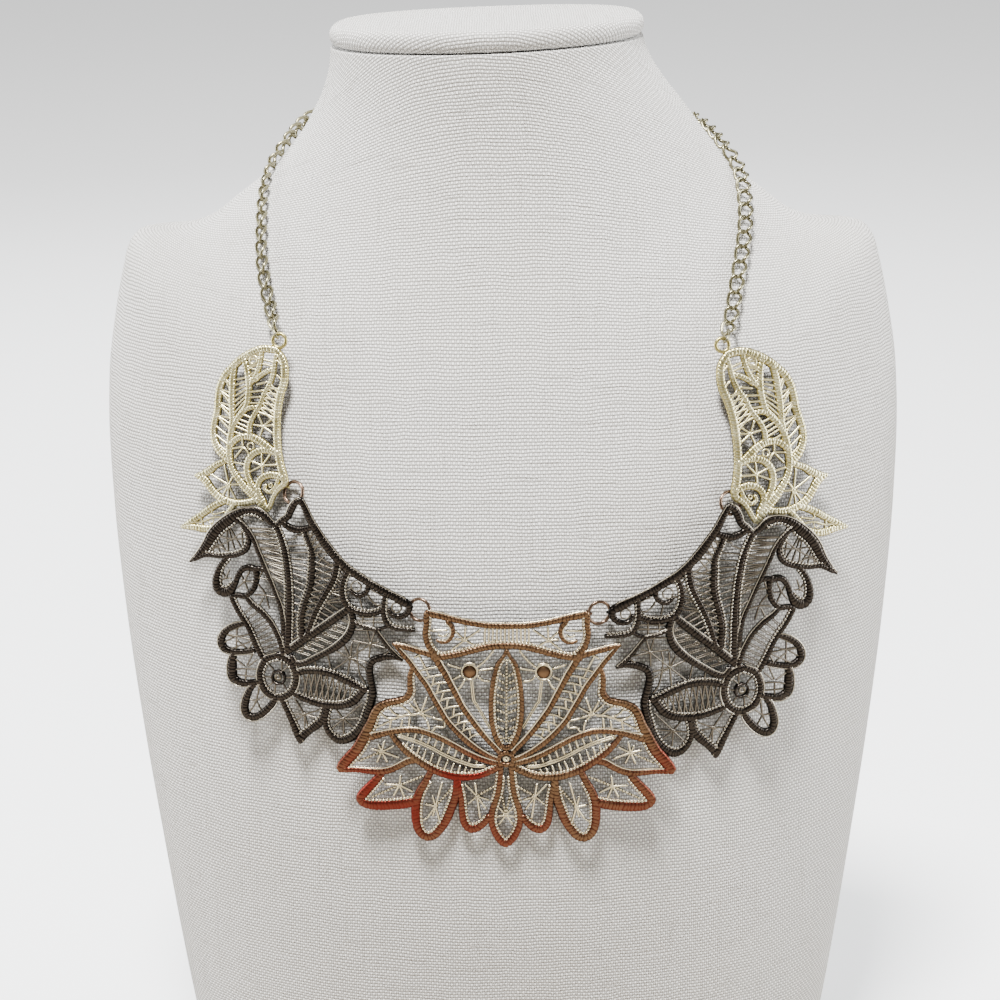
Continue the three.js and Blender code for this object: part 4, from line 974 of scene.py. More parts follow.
CENTRE = Drawing(
    stitch=Stitch.WOUND,
    halves=(1, -1),
    discs=((-9.9, 28.8, 1.7),),
    ribs={
        "top_bar": ((0, 41.8, 1.7), (-5, 41.9, 1.7), (-10, 42.6, 1.7), (-14, 43.5, 1.8),
            (-18, 44.4, 2), (-21.2, 45, 2)),
        "corner": ((-21.4, 44.6, 1.8), (-21.4, 42, 1.6), (-21.7, 39.5, 1.6), (-21.3, 37.2, 1.7),
            (-20.3, 35, 1.8), (-18.6, 33.2, 2)),
        "scroll": ((-15.9, 43, 1.2), (-14.6, 41.6, 1.2), (-14.3, 40, 1.2), (-14.7, 38.6, 1.2),
            (-15.7, 37.5, 1.1), (-17.1, 37.1, 1), (-18.6, 37.6, 0.8)),
        "bow": ((0, 36.3, 1.9), (-3, 36.2, 1.9), (-6, 35.7, 1.9), (-9, 34.9, 1.8), (-12, 34, 1.8),
            (-15, 33.3, 1.8), (-17.5, 32.9, 1.9), (-19.6, 32.8, 2)),
        "wing": ((-19.6, 33.4, 2), (-23.5, 34.4, 1.6), (-27, 35.4, 1.6), (-30.3, 36.3, 0.8)),
        "outer_ray": ((-30.2, 36.4, 0.8), (-28.4, 34.3, 1.3), (-26, 31.3, 1.5), (-23.6, 27.8, 1.5),
            (-21.5, 24.8, 1.5), (-19.5, 21, 1.5), (-17.4, 17.2, 1.5), (-16, 14.8, 1.5),
            (-13.7, 12, 1.6), (-12, 10.2, 1.7), (-9.8, 8.2, 1.7), (-7.2, 6.3, 1.5),
            (-4.5, 4.7, 1.4), (-2.4, 3.8, 1.4)),
        "inner_ray": ((-19, 32.6, 2), (-17.6, 30, 1.9), (-16.4, 28, 1.8), (-14.9, 25, 1.7),
            (-13.4, 22, 1.7), (-11.9, 19, 1.6), (-10.3, 16.5, 1.6), (-8.6, 14, 1.6),
            (-6.9, 11.7, 1.6), (-5.2, 9.6, 1.5), (-3.4, 7.6, 1.5), (-1.8, 5.8, 1.4)),
        "lens": ((0, 34.9, 1.2), (-0.9, 33.2, 0.9), (-2.3, 31.2, 1.1), (-3, 28.8, 1.2),
            (-3.6, 26, 1.3), (-4.05, 22, 1.3), (-4.15, 18, 1.4), (-3.95, 15, 1.4), (-3.4, 12, 1.5),
            (-2.5, 9.5, 1.6), (-1.3, 7.6, 1.6), (0, 7, 1.6)),
        "side": ((-25.2, 29.8, 1.2), (-25.85, 27.5, 1.5), (-25.9, 25, 1.6), (-25.9, 22.8, 1.8),
            (-27.1, 21, 1.8), (-29, 20.2, 1.8), (-32, 19.4, 2), (-34.2, 18.2, 2.2),
            (-35.5, 16.4, 2.3), (-36.4, 14, 2.4), (-37.6, 11.4, 2.7), (-39, 8.4, 3),
            (-40.6, 5.6, 3), (-42.6, 3.2, 3), (-44.4, 1, 2.9), (-45.2, -0.1, 2.4)),
        "tail": ((-45.2, -0.5, 1.7), (-41, -0.3, 1.6), (-37.4, -0.5, 1.8), (-34.4, -0.6, 2),
            (-31.6, 0, 2), (-29, 1.3, 1.9), (-26.6, 2.7, 2), (-24.4, 3.2, 2)),
        "eye_top": ((-37.8, 9.2, 2.4), (-34.4, 10.2, 2), (-31, 11.2, 1.7), (-27, 11.8, 1.6),
            (-23.5, 11.7, 1.6), (-20.5, 10.8, 1.6), (-17, 9.3, 1.6), (-13.5, 7.3, 1.6),
            (-10, 5.3, 1.7), (-6.5, 3.7, 1.7), (-3.4, 2.8, 1.6), (-1.4, 2.4, 1.4)),
        "eye_bottom": ((-31, 10.2, 1.4), (-29.3, 7.9, 1.6), (-26.5, 5, 1.9), (-23.5, 2.7, 2),
            (-20.5, 0.8, 2.1), (-17.5, -0.5, 2.1), (-14, -1.4, 2.2), (-10.5, -1.5, 2.1),
            (-7, -0.9, 1.9), (-4, 0.4, 1.9), (-1.8, 1.6, 1.8)),
        "lobe": ((-34, -1.4, 2), (-35.6, -3.4, 2.3), (-37.8, -5.9, 2.5), (-39.5, -8.1, 2.6),
            (-39.6, -9.4, 2.4), (-38, -10.4, 2.6), (-35, -10.6, 2.9), (-31, -10.3, 2.9),
            (-27.5, -9.8, 2.9), (-24.6, -9, 2.6)),
        "petal_outer": ((-20.3, 0, 1.8), (-21.8, -3, 2), (-23.4, -6, 2.2), (-24.4, -9, 2.5),
            (-24.6, -12, 2.5), (-24.5, -15, 2.4), (-23.9, -17.4, 2.4), (-22.8, -19, 2.4),
            (-21.3, -19.6, 2.4), (-19.6, -19, 2.4), (-17.9, -17.1, 2.4), (-16.2, -14.3, 2.4),
            (-15, -11.2, 2.4), (-13.9, -8, 2.3), (-13.5, -5, 2), (-13.4, -2, 1.8)),
        "petal_inner": ((-13.1, -2.2, 1.5), (-12.7, -5, 1.7), (-12.2, -8, 1.7), (-12, -11, 1.8),
            (-11.6, -14.2, 2), (-10.8, -16, 2.2), (-9.4, -16.9, 2.5), (-7.6, -16.4, 2.3),
            (-5.9, -15, 2), (-4.6, -13.2, 1.8)),
        "petal_mid": ((-1.3, 1.6, 1.5), (-1.6, -1.5, 1.5), (-1.9, -4.5, 1.6), (-2.4, -7, 1.6),
            (-3.2, -9.5, 1.7), (-3.8, -12, 1.8), (-3.9, -14.5, 1.8), (-3.3, -17, 1.9),
            (-2.2, -19.2, 2.1), (-1, -20.7, 2.2), (0, -21.3, 2.2)),
        "rosette": ((0, 5.8, 1.4), (-1.3, 5.2, 1.3), (-2, 3.9, 1.3), (-1.4, 2.6, 1.3),
            (0, 2.1, 1.4)),
    },
    linings=(
        Lining("corner", Edge.LEFT, Trim.BEADED),
        Lining("bow", Edge.RIGHT, Trim.BEADED),
        *lined(Edge.RIGHT, Trim.SMOOTH, "top_bar", "wing"),
        *lined(Edge.LEFT, Trim.SMOOTH, "outer_ray", "inner_ray"),
        Lining("lens", Edge.LEFT, Trim.BEADED, 0.08, 0.95),
        Lining("side", Edge.LEFT, Trim.BEADED, 0.0, 0.95),
        Lining("tail", Edge.LEFT, Trim.SMOOTH, 0.1),
        Lining("eye_top", Edge.LEFT, Trim.SMOOTH),
        Lining("eye_bottom", Edge.LEFT, Trim.BEADED, 0.1),
        Lining("lobe", Edge.LEFT, Trim.BEADED),
        Lining("petal_outer", Edge.LEFT, Trim.BEADED, 0.06, 0.95),
        Lining("petal_inner", Edge.LEFT, Trim.BEADED, 0.06),
        Lining("petal_mid", Edge.LEFT, Trim.BEADED, 0.1),
        Lining("petal_mid", Edge.RIGHT, Trim.BEADED, 0.05, 0.45),
        Lining("scroll", Edge.RIGHT, Trim.SMOOTH),
    ),
    lacings=(Lacing(("top_bar", "bow"), (0.025, 0.27), (0.028, 0.3), 5),),
    spiders=(
        Spider((-11.2, 37.8), ((-10.9, 41.9), (-6.8, 40.9), (-8.5, 36.3), (-14.8, 34.9),
            (-14, 38.1), (-13.8, 40.3))),
        Spider((-23, 16.8), ((-25, 20.8), (-21.3, 21.6), (-19.2, 19), (-20, 15.7), (-21.5, 15),
            (-27.2, 16.1)), ((-25, 20.8),), 0.7),
        Spider((-33.7, 5.4), ((-36.8, 6.1), (-34.7, 7.6), (-33, 8.6), (-30.2, 7.2), (-28.9, 3.7),
            (-32.2, 2.2), (-35.2, 2)), ((-40.3, 2.2),)),
        Spider((-29, -4.3), ((-33.3, -4.2), (-28.6, -1.2), (-25.2, -6.2), (-27.6, -8),
            (-30.8, -7.8)), ((-36.9, -8.3), (-22.2, -1.3))),
        Spider((-19.2, -10.3), ((-17.3, -3), (-22.2, -9.7), (-20, -7), (-21.5, -13.9), (-20, -13.5),
            (-18.2, -14), (-17.8, -15.8)), ((-14.8, -4.9),), 0.7),
        Spider((-7.9, -7), ((-11.2, -3.4), (-8.4, -3.2), (-4.5, -8.2), (-10.5, -9.5), (-7, -13.8),
            (-5.3, -11)), ((-3, -4),)),
        Spider((0, -12.6), ((-2.2, -10), (-2.8, -13.2), (-2, -15.5)), ((-1.1, -6.5),), 0.6),
    ),
    rings=(
        Ring((-9.9, 28.8), 2.1, 0.5), Ring((0, 33), 0.85, 0.6), Ring((0, 3.95), 0.62, 0.75),
    ),
    wires=(
        ((-20.3, 40.3), (-18.3, 40.4), (-15.6, 40.5)),
        ((-18.3, 39.4), (-17.6, 38.8), (-16.6, 38.8), (-15.7, 39.4)),
        ((-16, 31), (-14, 30.3), (-12.1, 29.8)), ((-12.1, 27.8), (-13.9, 26.9), (-14.4, 26.4)),
        ((-11.1, 26.8), (-12.3, 24.6), (-13.2, 23.8)), ((-7.7, 29.3), (-5, 29.7), (-3.3, 30)),
        ((-7.8, 27.9), (-6.5, 26.6), (-4.2, 26.2)),
        ((-8, 30.1), (-6, 31.8), (-4.2, 33.9), (-3.3, 35.3)),
        ((-11.5, 30.8), (-10, 31.3), (-8.3, 31)),
        ((-28.8, 19), (-27, 17.8), (-25.3, 16.3), (-24, 16.5)),
        ((-26.3, 19.6), (-24.8, 18.2), (-23.8, 17.3)),
        ((-31.8, 18.4), (-30.5, 16.8), (-28.6, 15.9), (-26.6, 16.3), (-25.3, 16.2)),
        ((-34, 16.4), (-31.8, 15.1), (-29, 15.4), (-27, 16)),
        ((-35.6, 12.1), (-33, 13.4), (-30.5, 14.8), (-28.6, 15.9)), ((-28, 15), (-28.6, 11.9)),
        ((-26, 15.9), (-26.4, 12)), ((-31, 15.2), (-31.6, 11.5)),
        ((-16.6, 14.9), (-16.8, 13), (-19, 13), (-19.6, 12.2), (-20.5, 11.4)),
        ((-20, 15.7), (-18.6, 15.3), (-16.8, 15)), ((-21.5, 15), (-21, 13.6), (-20.8, 11.8)),
        ((-29.6, 9.9), (-28.2, 9.6), (-26, 8.9), (-23.5, 8.1), (-20, 6.5), (-17, 4.8), (-14, 3.4),
         (-11, 2.3), (-8.5, 1.6), (-5.5, 1.6)),
        ((-29.6, 10.4), (-28.2, 10.2), (-26, 9.5), (-23.5, 8.7), (-20, 7.1), (-17, 5.4), (-14, 4),
         (-11, 2.9), (-8.5, 2.1), (-5.5, 2)),
        ((-26.7, 8.3), (-27.3, 6.2)), ((-25.2, 7.8), (-25.9, 5.2)), ((-23.4, 7.3), (-24.5, 4)),
        ((-21.7, 6.4), (-22.8, 2.9)), ((-19.7, 5.5), (-20.9, 1.8)), ((-17.7, 4.5), (-19, 0.9)),
        ((-15.7, 3.4), (-17.1, 0.1)), ((-14.1, 2.7), (-15.2, -0.4)), ((-12.4, 2), (-13.3, -0.7)),
        ((-10.8, 1.5), (-11.6, -0.8)), ((-9.3, 1.1), (-9.8, -0.7)), ((-28.6, 10.2), (-28.2, 11.4)),
        ((-26.8, 9.8), (-26.2, 11.4)), ((-24.9, 9.2), (-24.2, 11.4)), ((-23.1, 8.6), (-22.3, 11)),
        ((-21.3, 7.8), (-20.4, 10.3)), ((-19.5, 6.9), (-18.6, 9.6)), ((-17.7, 5.9), (-16.8, 8.8)),
        ((-15.9, 5), (-15, 7.8)), ((-14.1, 4.1), (-13.2, 6.8)), ((-12.2, 3.4), (-11.4, 5.7)),
        ((-10.2, 2.7), (-9.5, 4.7)), ((-8.2, 2.2), (-7.7, 3.8)),
        ((-21.5, -13.9), (-22.3, -14.3), (-23.6, -14.9)),
        ((-24.9, 32.4), (-23.5, 33.3), (-22.4, 33.8)),
        ((-23.4, 28.7), (-21.6, 29.5), (-17.8, 30.2)), ((-22, 26.8), (-20, 27.4), (-16.6, 28)),
        ((-20.8, 24.3), (-19, 25.4), (-15.5, 25.9)), ((-19.7, 22.2), (-17.8, 23.1), (-14.3, 23.7)),
        ((-18.6, 20), (-16.7, 21), (-13.2, 21.7)), ((-17.4, 18), (-15, 18.8), (-12.1, 19.2)),
        ((-15.6, 15.4), (-13.4, 16.6), (-10.8, 17)), ((-14.3, 13.3), (-12.2, 14.4), (-9.3, 14.8)),
        ((-12.6, 11.3), (-11, 12.4), (-8.1, 12.9)), ((-10.6, 9.3), (-8.9, 10.7), (-6.9, 11.1)),
        ((-21.6, 29.5), (-23.5, 33.3)), ((-21.6, 29.5), (-20.6, 27.2)),
        ((-19.4, 27.5), (-19.9, 24.9)), ((-18, 25.6), (-18.7, 22.7)),
        ((-16.8, 23.3), (-17.6, 20.6)), ((-15.7, 21.2), (-16.1, 18.5)),
        ((-14, 18.9), (-14.3, 16.2)), ((-12.6, 16.7), (-13, 14)), ((-11.2, 14.6), (-11.6, 12)),
        ((-10, 12.6), (-9.6, 10.4)),
    ),
    doubles=(
        ((-9.4, 26.6), (-8.8, 21), (-8, 19.5), (-6.2, 16.2), (-5.3, 14.5), (-4.2, 12.6)),
    ),
    beads=(
        ((0, 31.8), (0, 25), (0, 18), (0, 8.5)), ((-2.8, 29.1), (-0.4, 27.7)),
        ((-3.1, 27.1), (-0.4, 25.7)), ((-3.4, 25), (-0.4, 23.6)), ((-3.5, 22.9), (-0.4, 21.5)),
        ((-3.6, 20.9), (-0.4, 19.5)), ((-3.6, 18.6), (-0.4, 17.2)), ((-3.5, 16.1), (-0.4, 14.7)),
        ((-3.2, 13.8), (-0.4, 12.4)), ((-2.6, 11.2), (-0.4, 9.8)),
    ),
)

SIDE = Drawing(
    stitch=Stitch.RIDGED,
    ribs={
        "top_loop": ((0.8, 43.5, 1.3), (2.4, 45, 1.6), (4, 46.3, 1.6), (4.9, 48.4, 1.8),
            (6, 50.2, 1.6), (7.4, 50.9, 1.6)),
        "inner_bar": ((7.3, 51, 1.6), (8.6, 48.8, 1.7), (10.1, 45.8, 1.9), (12, 42.9, 2),
            (14.2, 39.8, 2.2), (17.2, 36.3, 2.2), (20.3, 33.4, 2.2), (23.8, 31.3, 2.1),
            (28, 29, 1.9), (32.5, 26.8, 2), (36, 25.1, 2.3), (37.9, 23.9, 1.9), (37.6, 22.2, 1.6),
            (36.3, 21, 1.5), (34.6, 20.7, 1.3), (33.1, 21.3, 1.1), (32.5, 22.6, 0.9)),
        "hole_bar": ((2.2, 44.6, 1.5), (4.2, 43.3, 1.8), (6.5, 42.7, 1.8), (9, 43.2, 1.7),
            (11.2, 44.2, 1.6)),
        "hook": ((31.3, 27, 1.2), (31, 24.6, 1.2), (30.9, 22.6, 1.3), (31.1, 20.7, 1.4),
            (31.9, 18.9, 1.4), (33.4, 17.7, 1.3), (36, 17.3, 1.2), (39.4, 17.2, 1.1)),
        "pocket": ((20.9, 32.6, 1.4), (19.7, 29.6, 1.4), (19.4, 26.8, 1.6), (19.9, 24.3, 1.6),
            (21.4, 22.2, 1.6), (24, 21.2, 1.5), (27, 21, 1.5), (29.7, 21.7, 1.5), (31, 22.7, 1.3)),
        "curl": ((26.3, 29.8, 1.3), (26.5, 27.8, 1.3), (25.3, 26.2, 1.3), (23.4, 25.8, 1.1),
            (21.8, 27.1, 0.9)),
        "feather_4": ((17.9, 35.4, 1.6), (17.6, 32.8, 1.7), (16.9, 29.8, 1.7), (15.3, 26.6, 1.6),
            (13.7, 23.6, 1.6), (12.2, 20.6, 1.6), (11, 17.6, 1.6), (10, 14.4, 1.6),
            (9.4, 12.8, 1.6)),
        "feather_3": ((8.6, 43, 1.1), (9.6, 40.2, 1.1), (10.9, 37, 1.3), (11, 34, 1.6),
            (11, 31, 1.7), (10.8, 28.5, 1.7), (10.2, 26, 1.6), (9.3, 23.2, 1.6), (8.6, 20.6, 1.6),
            (8.2, 18, 1.6), (8.3, 15.4, 1.6), (8.4, 12.2, 1.6)),
        "feather_2": ((0.6, 43.5, 1.4), (1.8, 41, 1.4), (2.7, 38.5, 1.5), (3.4, 36, 1.5),
            (3.9, 33, 1.6), (4.3, 30, 1.6), (4.5, 27, 1.6), (4.6, 24, 1.7), (4.6, 21, 1.8),
            (4.5, 18, 2), (4.4, 15, 2), (4.4, 12, 2), (4.1, 9, 1.9)),
        "feather_1": ((-11.4, 44.6, 1.4), (-9, 43.1, 1.2), (-7.1, 41.2, 1.2), (-5.6, 38.8, 1.3),
            (-4.6, 36.4, 1.3), (-3.4, 33.8, 1.3), (-2.2, 31.2, 1.3), (-1.1, 28.8, 1.3),
            (-0.1, 26.6, 1.2), (0.9, 24.2, 1.2), (2, 21.6, 1.3), (2.7, 18.8, 1.4), (3, 16, 1.5),
            (3.2, 13, 1.5)),
        "crest": ((-24, 31.2, 0.6), (-21.6, 33.3, 1.6), (-19.2, 36.2, 2.4), (-17.5, 39.2, 2.8),
            (-15.4, 41.8, 2.8), (-12.8, 43.9, 2.8), (-10.6, 45.7, 2.2), (-8, 46.9, 1.7),
            (-5, 47, 1.9), (-2.9, 46, 2), (-1.2, 44.5, 1.8), (0.5, 43.4, 1.5)),
        "leaf_low": ((-22.8, 31.8, 0.9), (-19.5, 33.5, 1.3), (-15.8, 33.5, 1.2), (-12.6, 33.9, 1.4),
            (-10, 34.6, 1.4), (-8.1, 35.8, 1.4), (-7.1, 37.8, 1.2), (-7.2, 40, 1), (-8.8, 42.6, 1)),
        "ear": ((-13, 33.8, 1.4), (-15, 31.2, 1.5), (-16.1, 28.6, 1.9), (-16.4, 26.1, 2.3),
            (-15.8, 24.2, 2.5), (-14.2, 23.5, 2.6), (-12.4, 24.1, 2.4), (-11, 26.2, 1.6),
            (-10.1, 28.6, 1.5), (-8.8, 30.4, 1.6), (-7, 31.1, 1.6), (-5.4, 30.7, 1.6),
            (-4.7, 29.3, 1.6), (-4.9, 27.4, 1.5), (-5.5, 25.5, 1.5), (-6.7, 23.9, 1.5),
            (-8.2, 22.9, 1.5), (-10.2, 23, 1.4), (-12, 22.5, 1.4)),
        "ear_link": ((-5.4, 30.9, 1.3), (-3.8, 31, 1.3), (-2.2, 30.8, 1.3)),
        "ladder_left": ((-11.9, 22.2, 1.5), (-10.2, 18.9, 1.5), (-8.3, 16.2, 1.5),
            (-6.7, 13.6, 1.5), (-5.6, 11.2, 1.6), (-4.4, 8.6, 1.6), (-3, 6, 1.6)),
        "ladder_right": ((-7.4, 22.4, 1.4), (-6, 21, 1.5), (-3.6, 19.3, 1.6), (-1.7, 17.6, 1.5),
            (-0.1, 15.6, 1.5), (1.1, 13.4, 1.5), (2.1, 11.2, 1.5), (2.8, 8.8, 1.5), (3, 6.9, 1.4)),
        "scallop_1": ((-7.4, 15.4, 1.2), (-10.4, 14.6, 1.5), (-12.9, 13.1, 1.7), (-14.5, 11.1, 1.8),
            (-14.8, 9, 1.9), (-13.6, 7.3, 1.8), (-11.2, 6.8, 1.5), (-8.5, 7.1, 1.4),
            (-5.2, 7.9, 1.5)),
        "scallop_2": ((-11.3, 6.4, 1.4), (-11.7, 4, 2.2), (-11.8, 1.6, 2.5), (-11.4, -0.6, 2.3),
            (-9.8, -1.8, 2), (-7.6, -1.9, 1.7), (-5, -1.4, 1.6), (-3.2, -0.8, 1.4)),
        "scallop_3": ((-5, -1.8, 1.4), (-6.6, -3.8, 1.6), (-7.7, -6.7, 1.9), (-8.1, -9.4, 1.9),
            (-7, -11.4, 1.9), (-5, -11.5, 1.9), (-2.8, -10.2, 2), (-0.6, -7.9, 2),
            (0.8, -5.8, 1.8)),
        "leaf_rung_top": ((4, 8.2, 1.8), (6.6, 10.3, 1.9), (9.5, 12.6, 1.9), (12.5, 14.9, 1.9),
            (15.5, 17.2, 1.9), (18.4, 19.5, 1.9), (21.2, 21.7, 1.8)),
        "leaf_rung_low": ((5.4, 7, 1.4), (6.9, 5.2, 1.5), (9.5, 5.7, 1.6), (12.5, 7.4, 1.6),
            (15.5, 9.2, 1.7), (18.4, 11.2, 1.9), (20.8, 13.6, 2), (22.2, 16.2, 1.8),
            (22.6, 18.8, 1.6), (22.1, 21.3, 1.5)),
        "leaf_net_top": ((6.4, 2, 1.5), (9, 3.1, 1.7), (12, 3.5, 1.7), (15, 3.4, 1.8),
            (18, 2.7, 1.8), (21, 1.5, 1.9), (24, 0.2, 1.7), (26.4, -0.9, 1.5)),
        "leaf_net_low": ((6.2, -3.6, 1.5), (9, -4.7, 1.7), (12, -5.6, 1.8), (15, -6, 1.9),
            (18, -6, 2), (21, -5.4, 2), (23.4, -4, 2), (24.9, -2, 1.9), (26.3, -0.4, 1.8)),
        "bulge": ((36.3, 8.7, 0.8), (33, 9.3, 1.7), (30, 8.6, 1.8), (27.9, 7.4, 1.9),
            (27.3, 5.2, 1.9), (27.6, 2.6, 1.9), (28.2, 0.2, 1.9), (28.4, -1.8, 2), (28, -4.2, 2),
            (27.2, -7, 2.2), (26.3, -9.8, 2.2), (24.7, -12.6, 2.2), (22.5, -14.8, 2.2),
            (20, -15.9, 2.2), (18, -15.6, 2), (16.2, -14, 1.7), (15.2, -11.6, 1.5), (15.3, -9, 1.5),
            (16, -6.4, 1.4)),
        "edge_wire": ((22.6, 18.4, 0.9), (25.6, 17.3, 0.9), (28.7, 16.5, 1), (30.4, 14.6, 1.1),
            (32.3, 12.2, 1.1), (34.3, 10.2, 1.1), (36.3, 8.6, 0.9)),
        "edge_link": ((28.5, 16.6, 0.9), (30.4, 17, 0.9), (32.6, 18.1, 0.9)),
        "tip_outer": ((2.4, -4.8, 1.6), (3.9, -8, 1.6), (5.3, -11, 1.7), (6.6, -14, 2),
            (7.6, -16.4, 1.9), (8, -17.6, 1.2)),
        "tip_inner": ((8, -17.5, 1.2), (8.9, -15.6, 2), (10.8, -13.8, 1.9), (12.9, -12, 2.1),
            (14.4, -10, 1.8), (15, -8, 1.6), (15.2, -6.2, 1.5)),
        "medallion": ((1.65, 7.05, 1.7), (5.3, 5.3, 1.7), (6.9, 0.95, 1.7), (5.3, -3.4, 1.7),
            (1.65, -5.15, 1.7), (-2.05, -3.4, 1.7), (-3.6, 0.95, 1.7), (-2.05, 5.3, 1.7),
            (1.65, 7.05, 1.7)),
        "hub": ((1.7, 2.55, 0.7), (3, 2, 0.7), (3.55, 0.7, 0.7), (3, -0.6, 0.7), (1.7, -1.15, 0.7),
            (0.4, -0.6, 0.7), (-0.15, 0.7, 0.7), (0.4, 2, 0.7), (1.7, 2.55, 0.7)),
    },
    linings=(
        Lining("inner_bar", Edge.LEFT, Trim.SMOOTH, 0.0, 0.8),
        Lining("crest", Edge.LEFT, Trim.SMOOTH),
        Lining("crest", Edge.RIGHT, Trim.BEADED, 0.2, 0.9),
        *lined(Edge.LEFT, Trim.SMOOTH, "feather_1", "ladder_right", "leaf_rung_top",
               "leaf_rung_low", "edge_wire"),
        *lined(Edge.LEFT, Trim.BEADED, "leaf_low", "ladder_left", "hook", "pocket", "leaf_net_low",
               "leaf_net_top"),
        Lining("bulge", Edge.RIGHT, Trim.BEADED, 0.35),
        *lined(Edge.LEFT, Trim.BEADED, "tip_outer", "tip_inner"),
        Lining("medallion", Edge.RIGHT, Trim.BEADED),
        Lining("medallion", Edge.LEFT, Trim.SMOOTH),
        Lining("feather_2", Edge.LEFT, Trim.BEADED),
        *lined(Edge.RIGHT, Trim.BEADED, "feather_2", "feather_3"),
        Lining("feather_4", Edge.LEFT, Trim.BEADED),
        *lined(Edge.RIGHT, Trim.SMOOTH, "scallop_1", "scallop_2", "scallop_3"),
        Lining("ear", Edge.LEFT, Trim.BEADED, 0.0, 0.45),
        Lining("top_loop", Edge.LEFT, Trim.SMOOTH),
    ),
    lacings=(
        Lacing(("feather_1", "feather_2"), (0.12, 0.55), (0.03, 0.5), 15, Lay.ZIGZAG),
        Lacing(("feather_3", "feather_4"), (0.28, 0.92), (0.05, 0.9), 11, Lay.CROSSED),
        Lacing(("feather_3", "inner_bar"), (0.02, 0.26), (0.12, 0.32), 5, Lay.CROSSED),
        Lacing(("feather_4", "leaf_rung_top"), (0.5, 0.92), (0.92, 0.45), 6, Lay.RUNGS),
        Lacing(("feather_4", "pocket"), (0.08, 0.55), (0.05, 0.42), 6, Lay.ZIGZAG),
        Lacing(("leaf_net_top", "leaf_net_low"), (0.12, 0.86), (0.12, 0.72), 9, Lay.CROSSED),
        Lacing(("crest", "leaf_low"), (0.2, 0.72), (0.15, 0.85), 7, Lay.ZIGZAG),
        Lacing(("ladder_left", "scallop_1"), (0.45, 0.85), (0.1, 0.9), 3, Lay.ZIGZAG),
        Lacing(("feather_2", "feather_3"), (0.72, 0.95), (0.72, 0.95), 5, Lay.RUNGS),
        Lacing(("feather_1", "feather_2"), (0.62, 0.95), (0.6, 0.9), 7, Lay.RUNGS),
    ),
    spiders=(
        Spider((27.5, 12.5), ((22.2, 13.1), (26.5, 16.8), (28.8, 16.4), (30, 13.4), (32.3, 11.6),
            (27.2, 8.4), (22, 8.1))),
        Spider((22, 8.1), ((17.6, 10), (22.4, 12.5), (20.3, 11.6), (26.9, 7.1), (26.9, 5),
            (21.2, 2.3), (17, 4.1))),
        Spider((9.2, -9.3), ((5.2, -9.5), (6.4, -5), (14, -7.4), (13.2, -10.1), (10.4, -13.3),
            (9.3, -14.4), (6.2, -11.6))),
        Spider((20.2, -9.6), ((16, -10.2), (18, -6.7), (26, -8.9), (25.6, -4.4), (23.8, -12.3),
            (16.4, -13.3), (20.4, -14.8))),
        Spider((-13.6, 27.6), ((-15.2, 30), (-15.6, 26.2), (-11.8, 27.5), (-12.4, 30.4)), (), 0.5),
        Spider((-8.2, 27.2), ((-9.6, 29.4), (-6.6, 30.4), (-5.4, 27.2), (-7, 24.4), (-10.2, 25)),
            (), 0.5),
    ),
    rings=(
        Ring((23.3, 28.3), 1.4, 0.45), Ring((34.5, 23.2), 1.35, 0.5), Ring((1.65, 0.8), 0.75, 0.8),
        Ring((17.6, 16.4), 0.5, 0.4), Ring((14.9, 14.4), 0.5, 0.4), Ring((12.6, 12.6), 0.5, 0.4),
        Ring((10.4, 11), 0.5, 0.4), Ring((8.2, 9.4), 0.5, 0.4),
    ),
    wires=(
        ((3.2, 39.2), (6.5, 40.6)), ((3.5, 38), (10, 38.9)), ((4, 36.2), (10.4, 36.9)),
        ((4.6, 34.8), (10.4, 34.6)), ((4.8, 33.7), (10.4, 33)), ((5, 32.3), (10.4, 31.2)),
        ((5.2, 30.7), (10.3, 29.2)), ((5.3, 28.8), (10, 27.2)), ((5.4, 26.9), (9.6, 25.5)),
        ((5.5, 24.9), (8.9, 23.4)), ((5.5, 22.4), (8.4, 21.8)), ((5.6, 20.2), (8, 19.4)),
        ((6, 41.1), (8, 41.6), (11, 41.8)), ((26.3, 26.6), (27.5, 24.8), (29.2, 23.6), (31, 24)),
        ((27, 28), (30.9, 26.1)), ((24.4, 25.4), (25.2, 21.6)), ((22, 27.6), (20, 27)),
        ((-17, 39.2), (-12.6, 38.7), (-7.6, 39)), ((-19, 35.5), (-14, 37.3), (-8, 41.5)),
        ((-19.8, 33.8), (-15.8, 36), (-12.4, 34.6)), ((-5.7, 23.5), (-2.5, 23.8), (1, 23.3)),
        ((-4.6, 27), (-2.3, 24.3), (-1, 20)), ((-2.6, 23.2), (-4, 20.4)),
        ((-4.9, 28.6), (-0.9, 28.2)), ((-3, 30.8), (-5, 26)),
        ((-15.4, 12), (-11, 11.2), (-6, 12.4)), ((-14.4, 9), (-11, 11)),
        ((-10.3, 14.2), (-10.5, 7.4)), ((-10.6, 10.5), (-7.4, 8)), ((-11.2, 5), (-7.8, 2.8)),
        ((-5.6, 7), (-7.5, 3)), ((-11.2, 1.6), (-7.5, 2.3), (-3.8, 2.3)),
        ((-7.3, 2.8), (-4.2, 5.4)), ((-4.4, 0.2), (-10.4, 0.2)), ((-7.6, 2.6), (-7.8, -1.6)),
        ((-3.6, -1), (-4.7, -6.6), (-6.8, -10.4)), ((-7.2, -6.4), (-4.7, -6.6), (-1.6, -4.4)),
        ((-4.7, -6.6), (-3.2, -9.6)), ((2.6, 2.4), (5.2, 4.8)), ((2.6, 2.4), (2.9, 6.3)),
        ((0.6, 2.4), (-1.4, 4.6)), ((-0.1, 0.8), (-3.2, 0.2)), ((0.9, -1), (0.6, -4.6)),
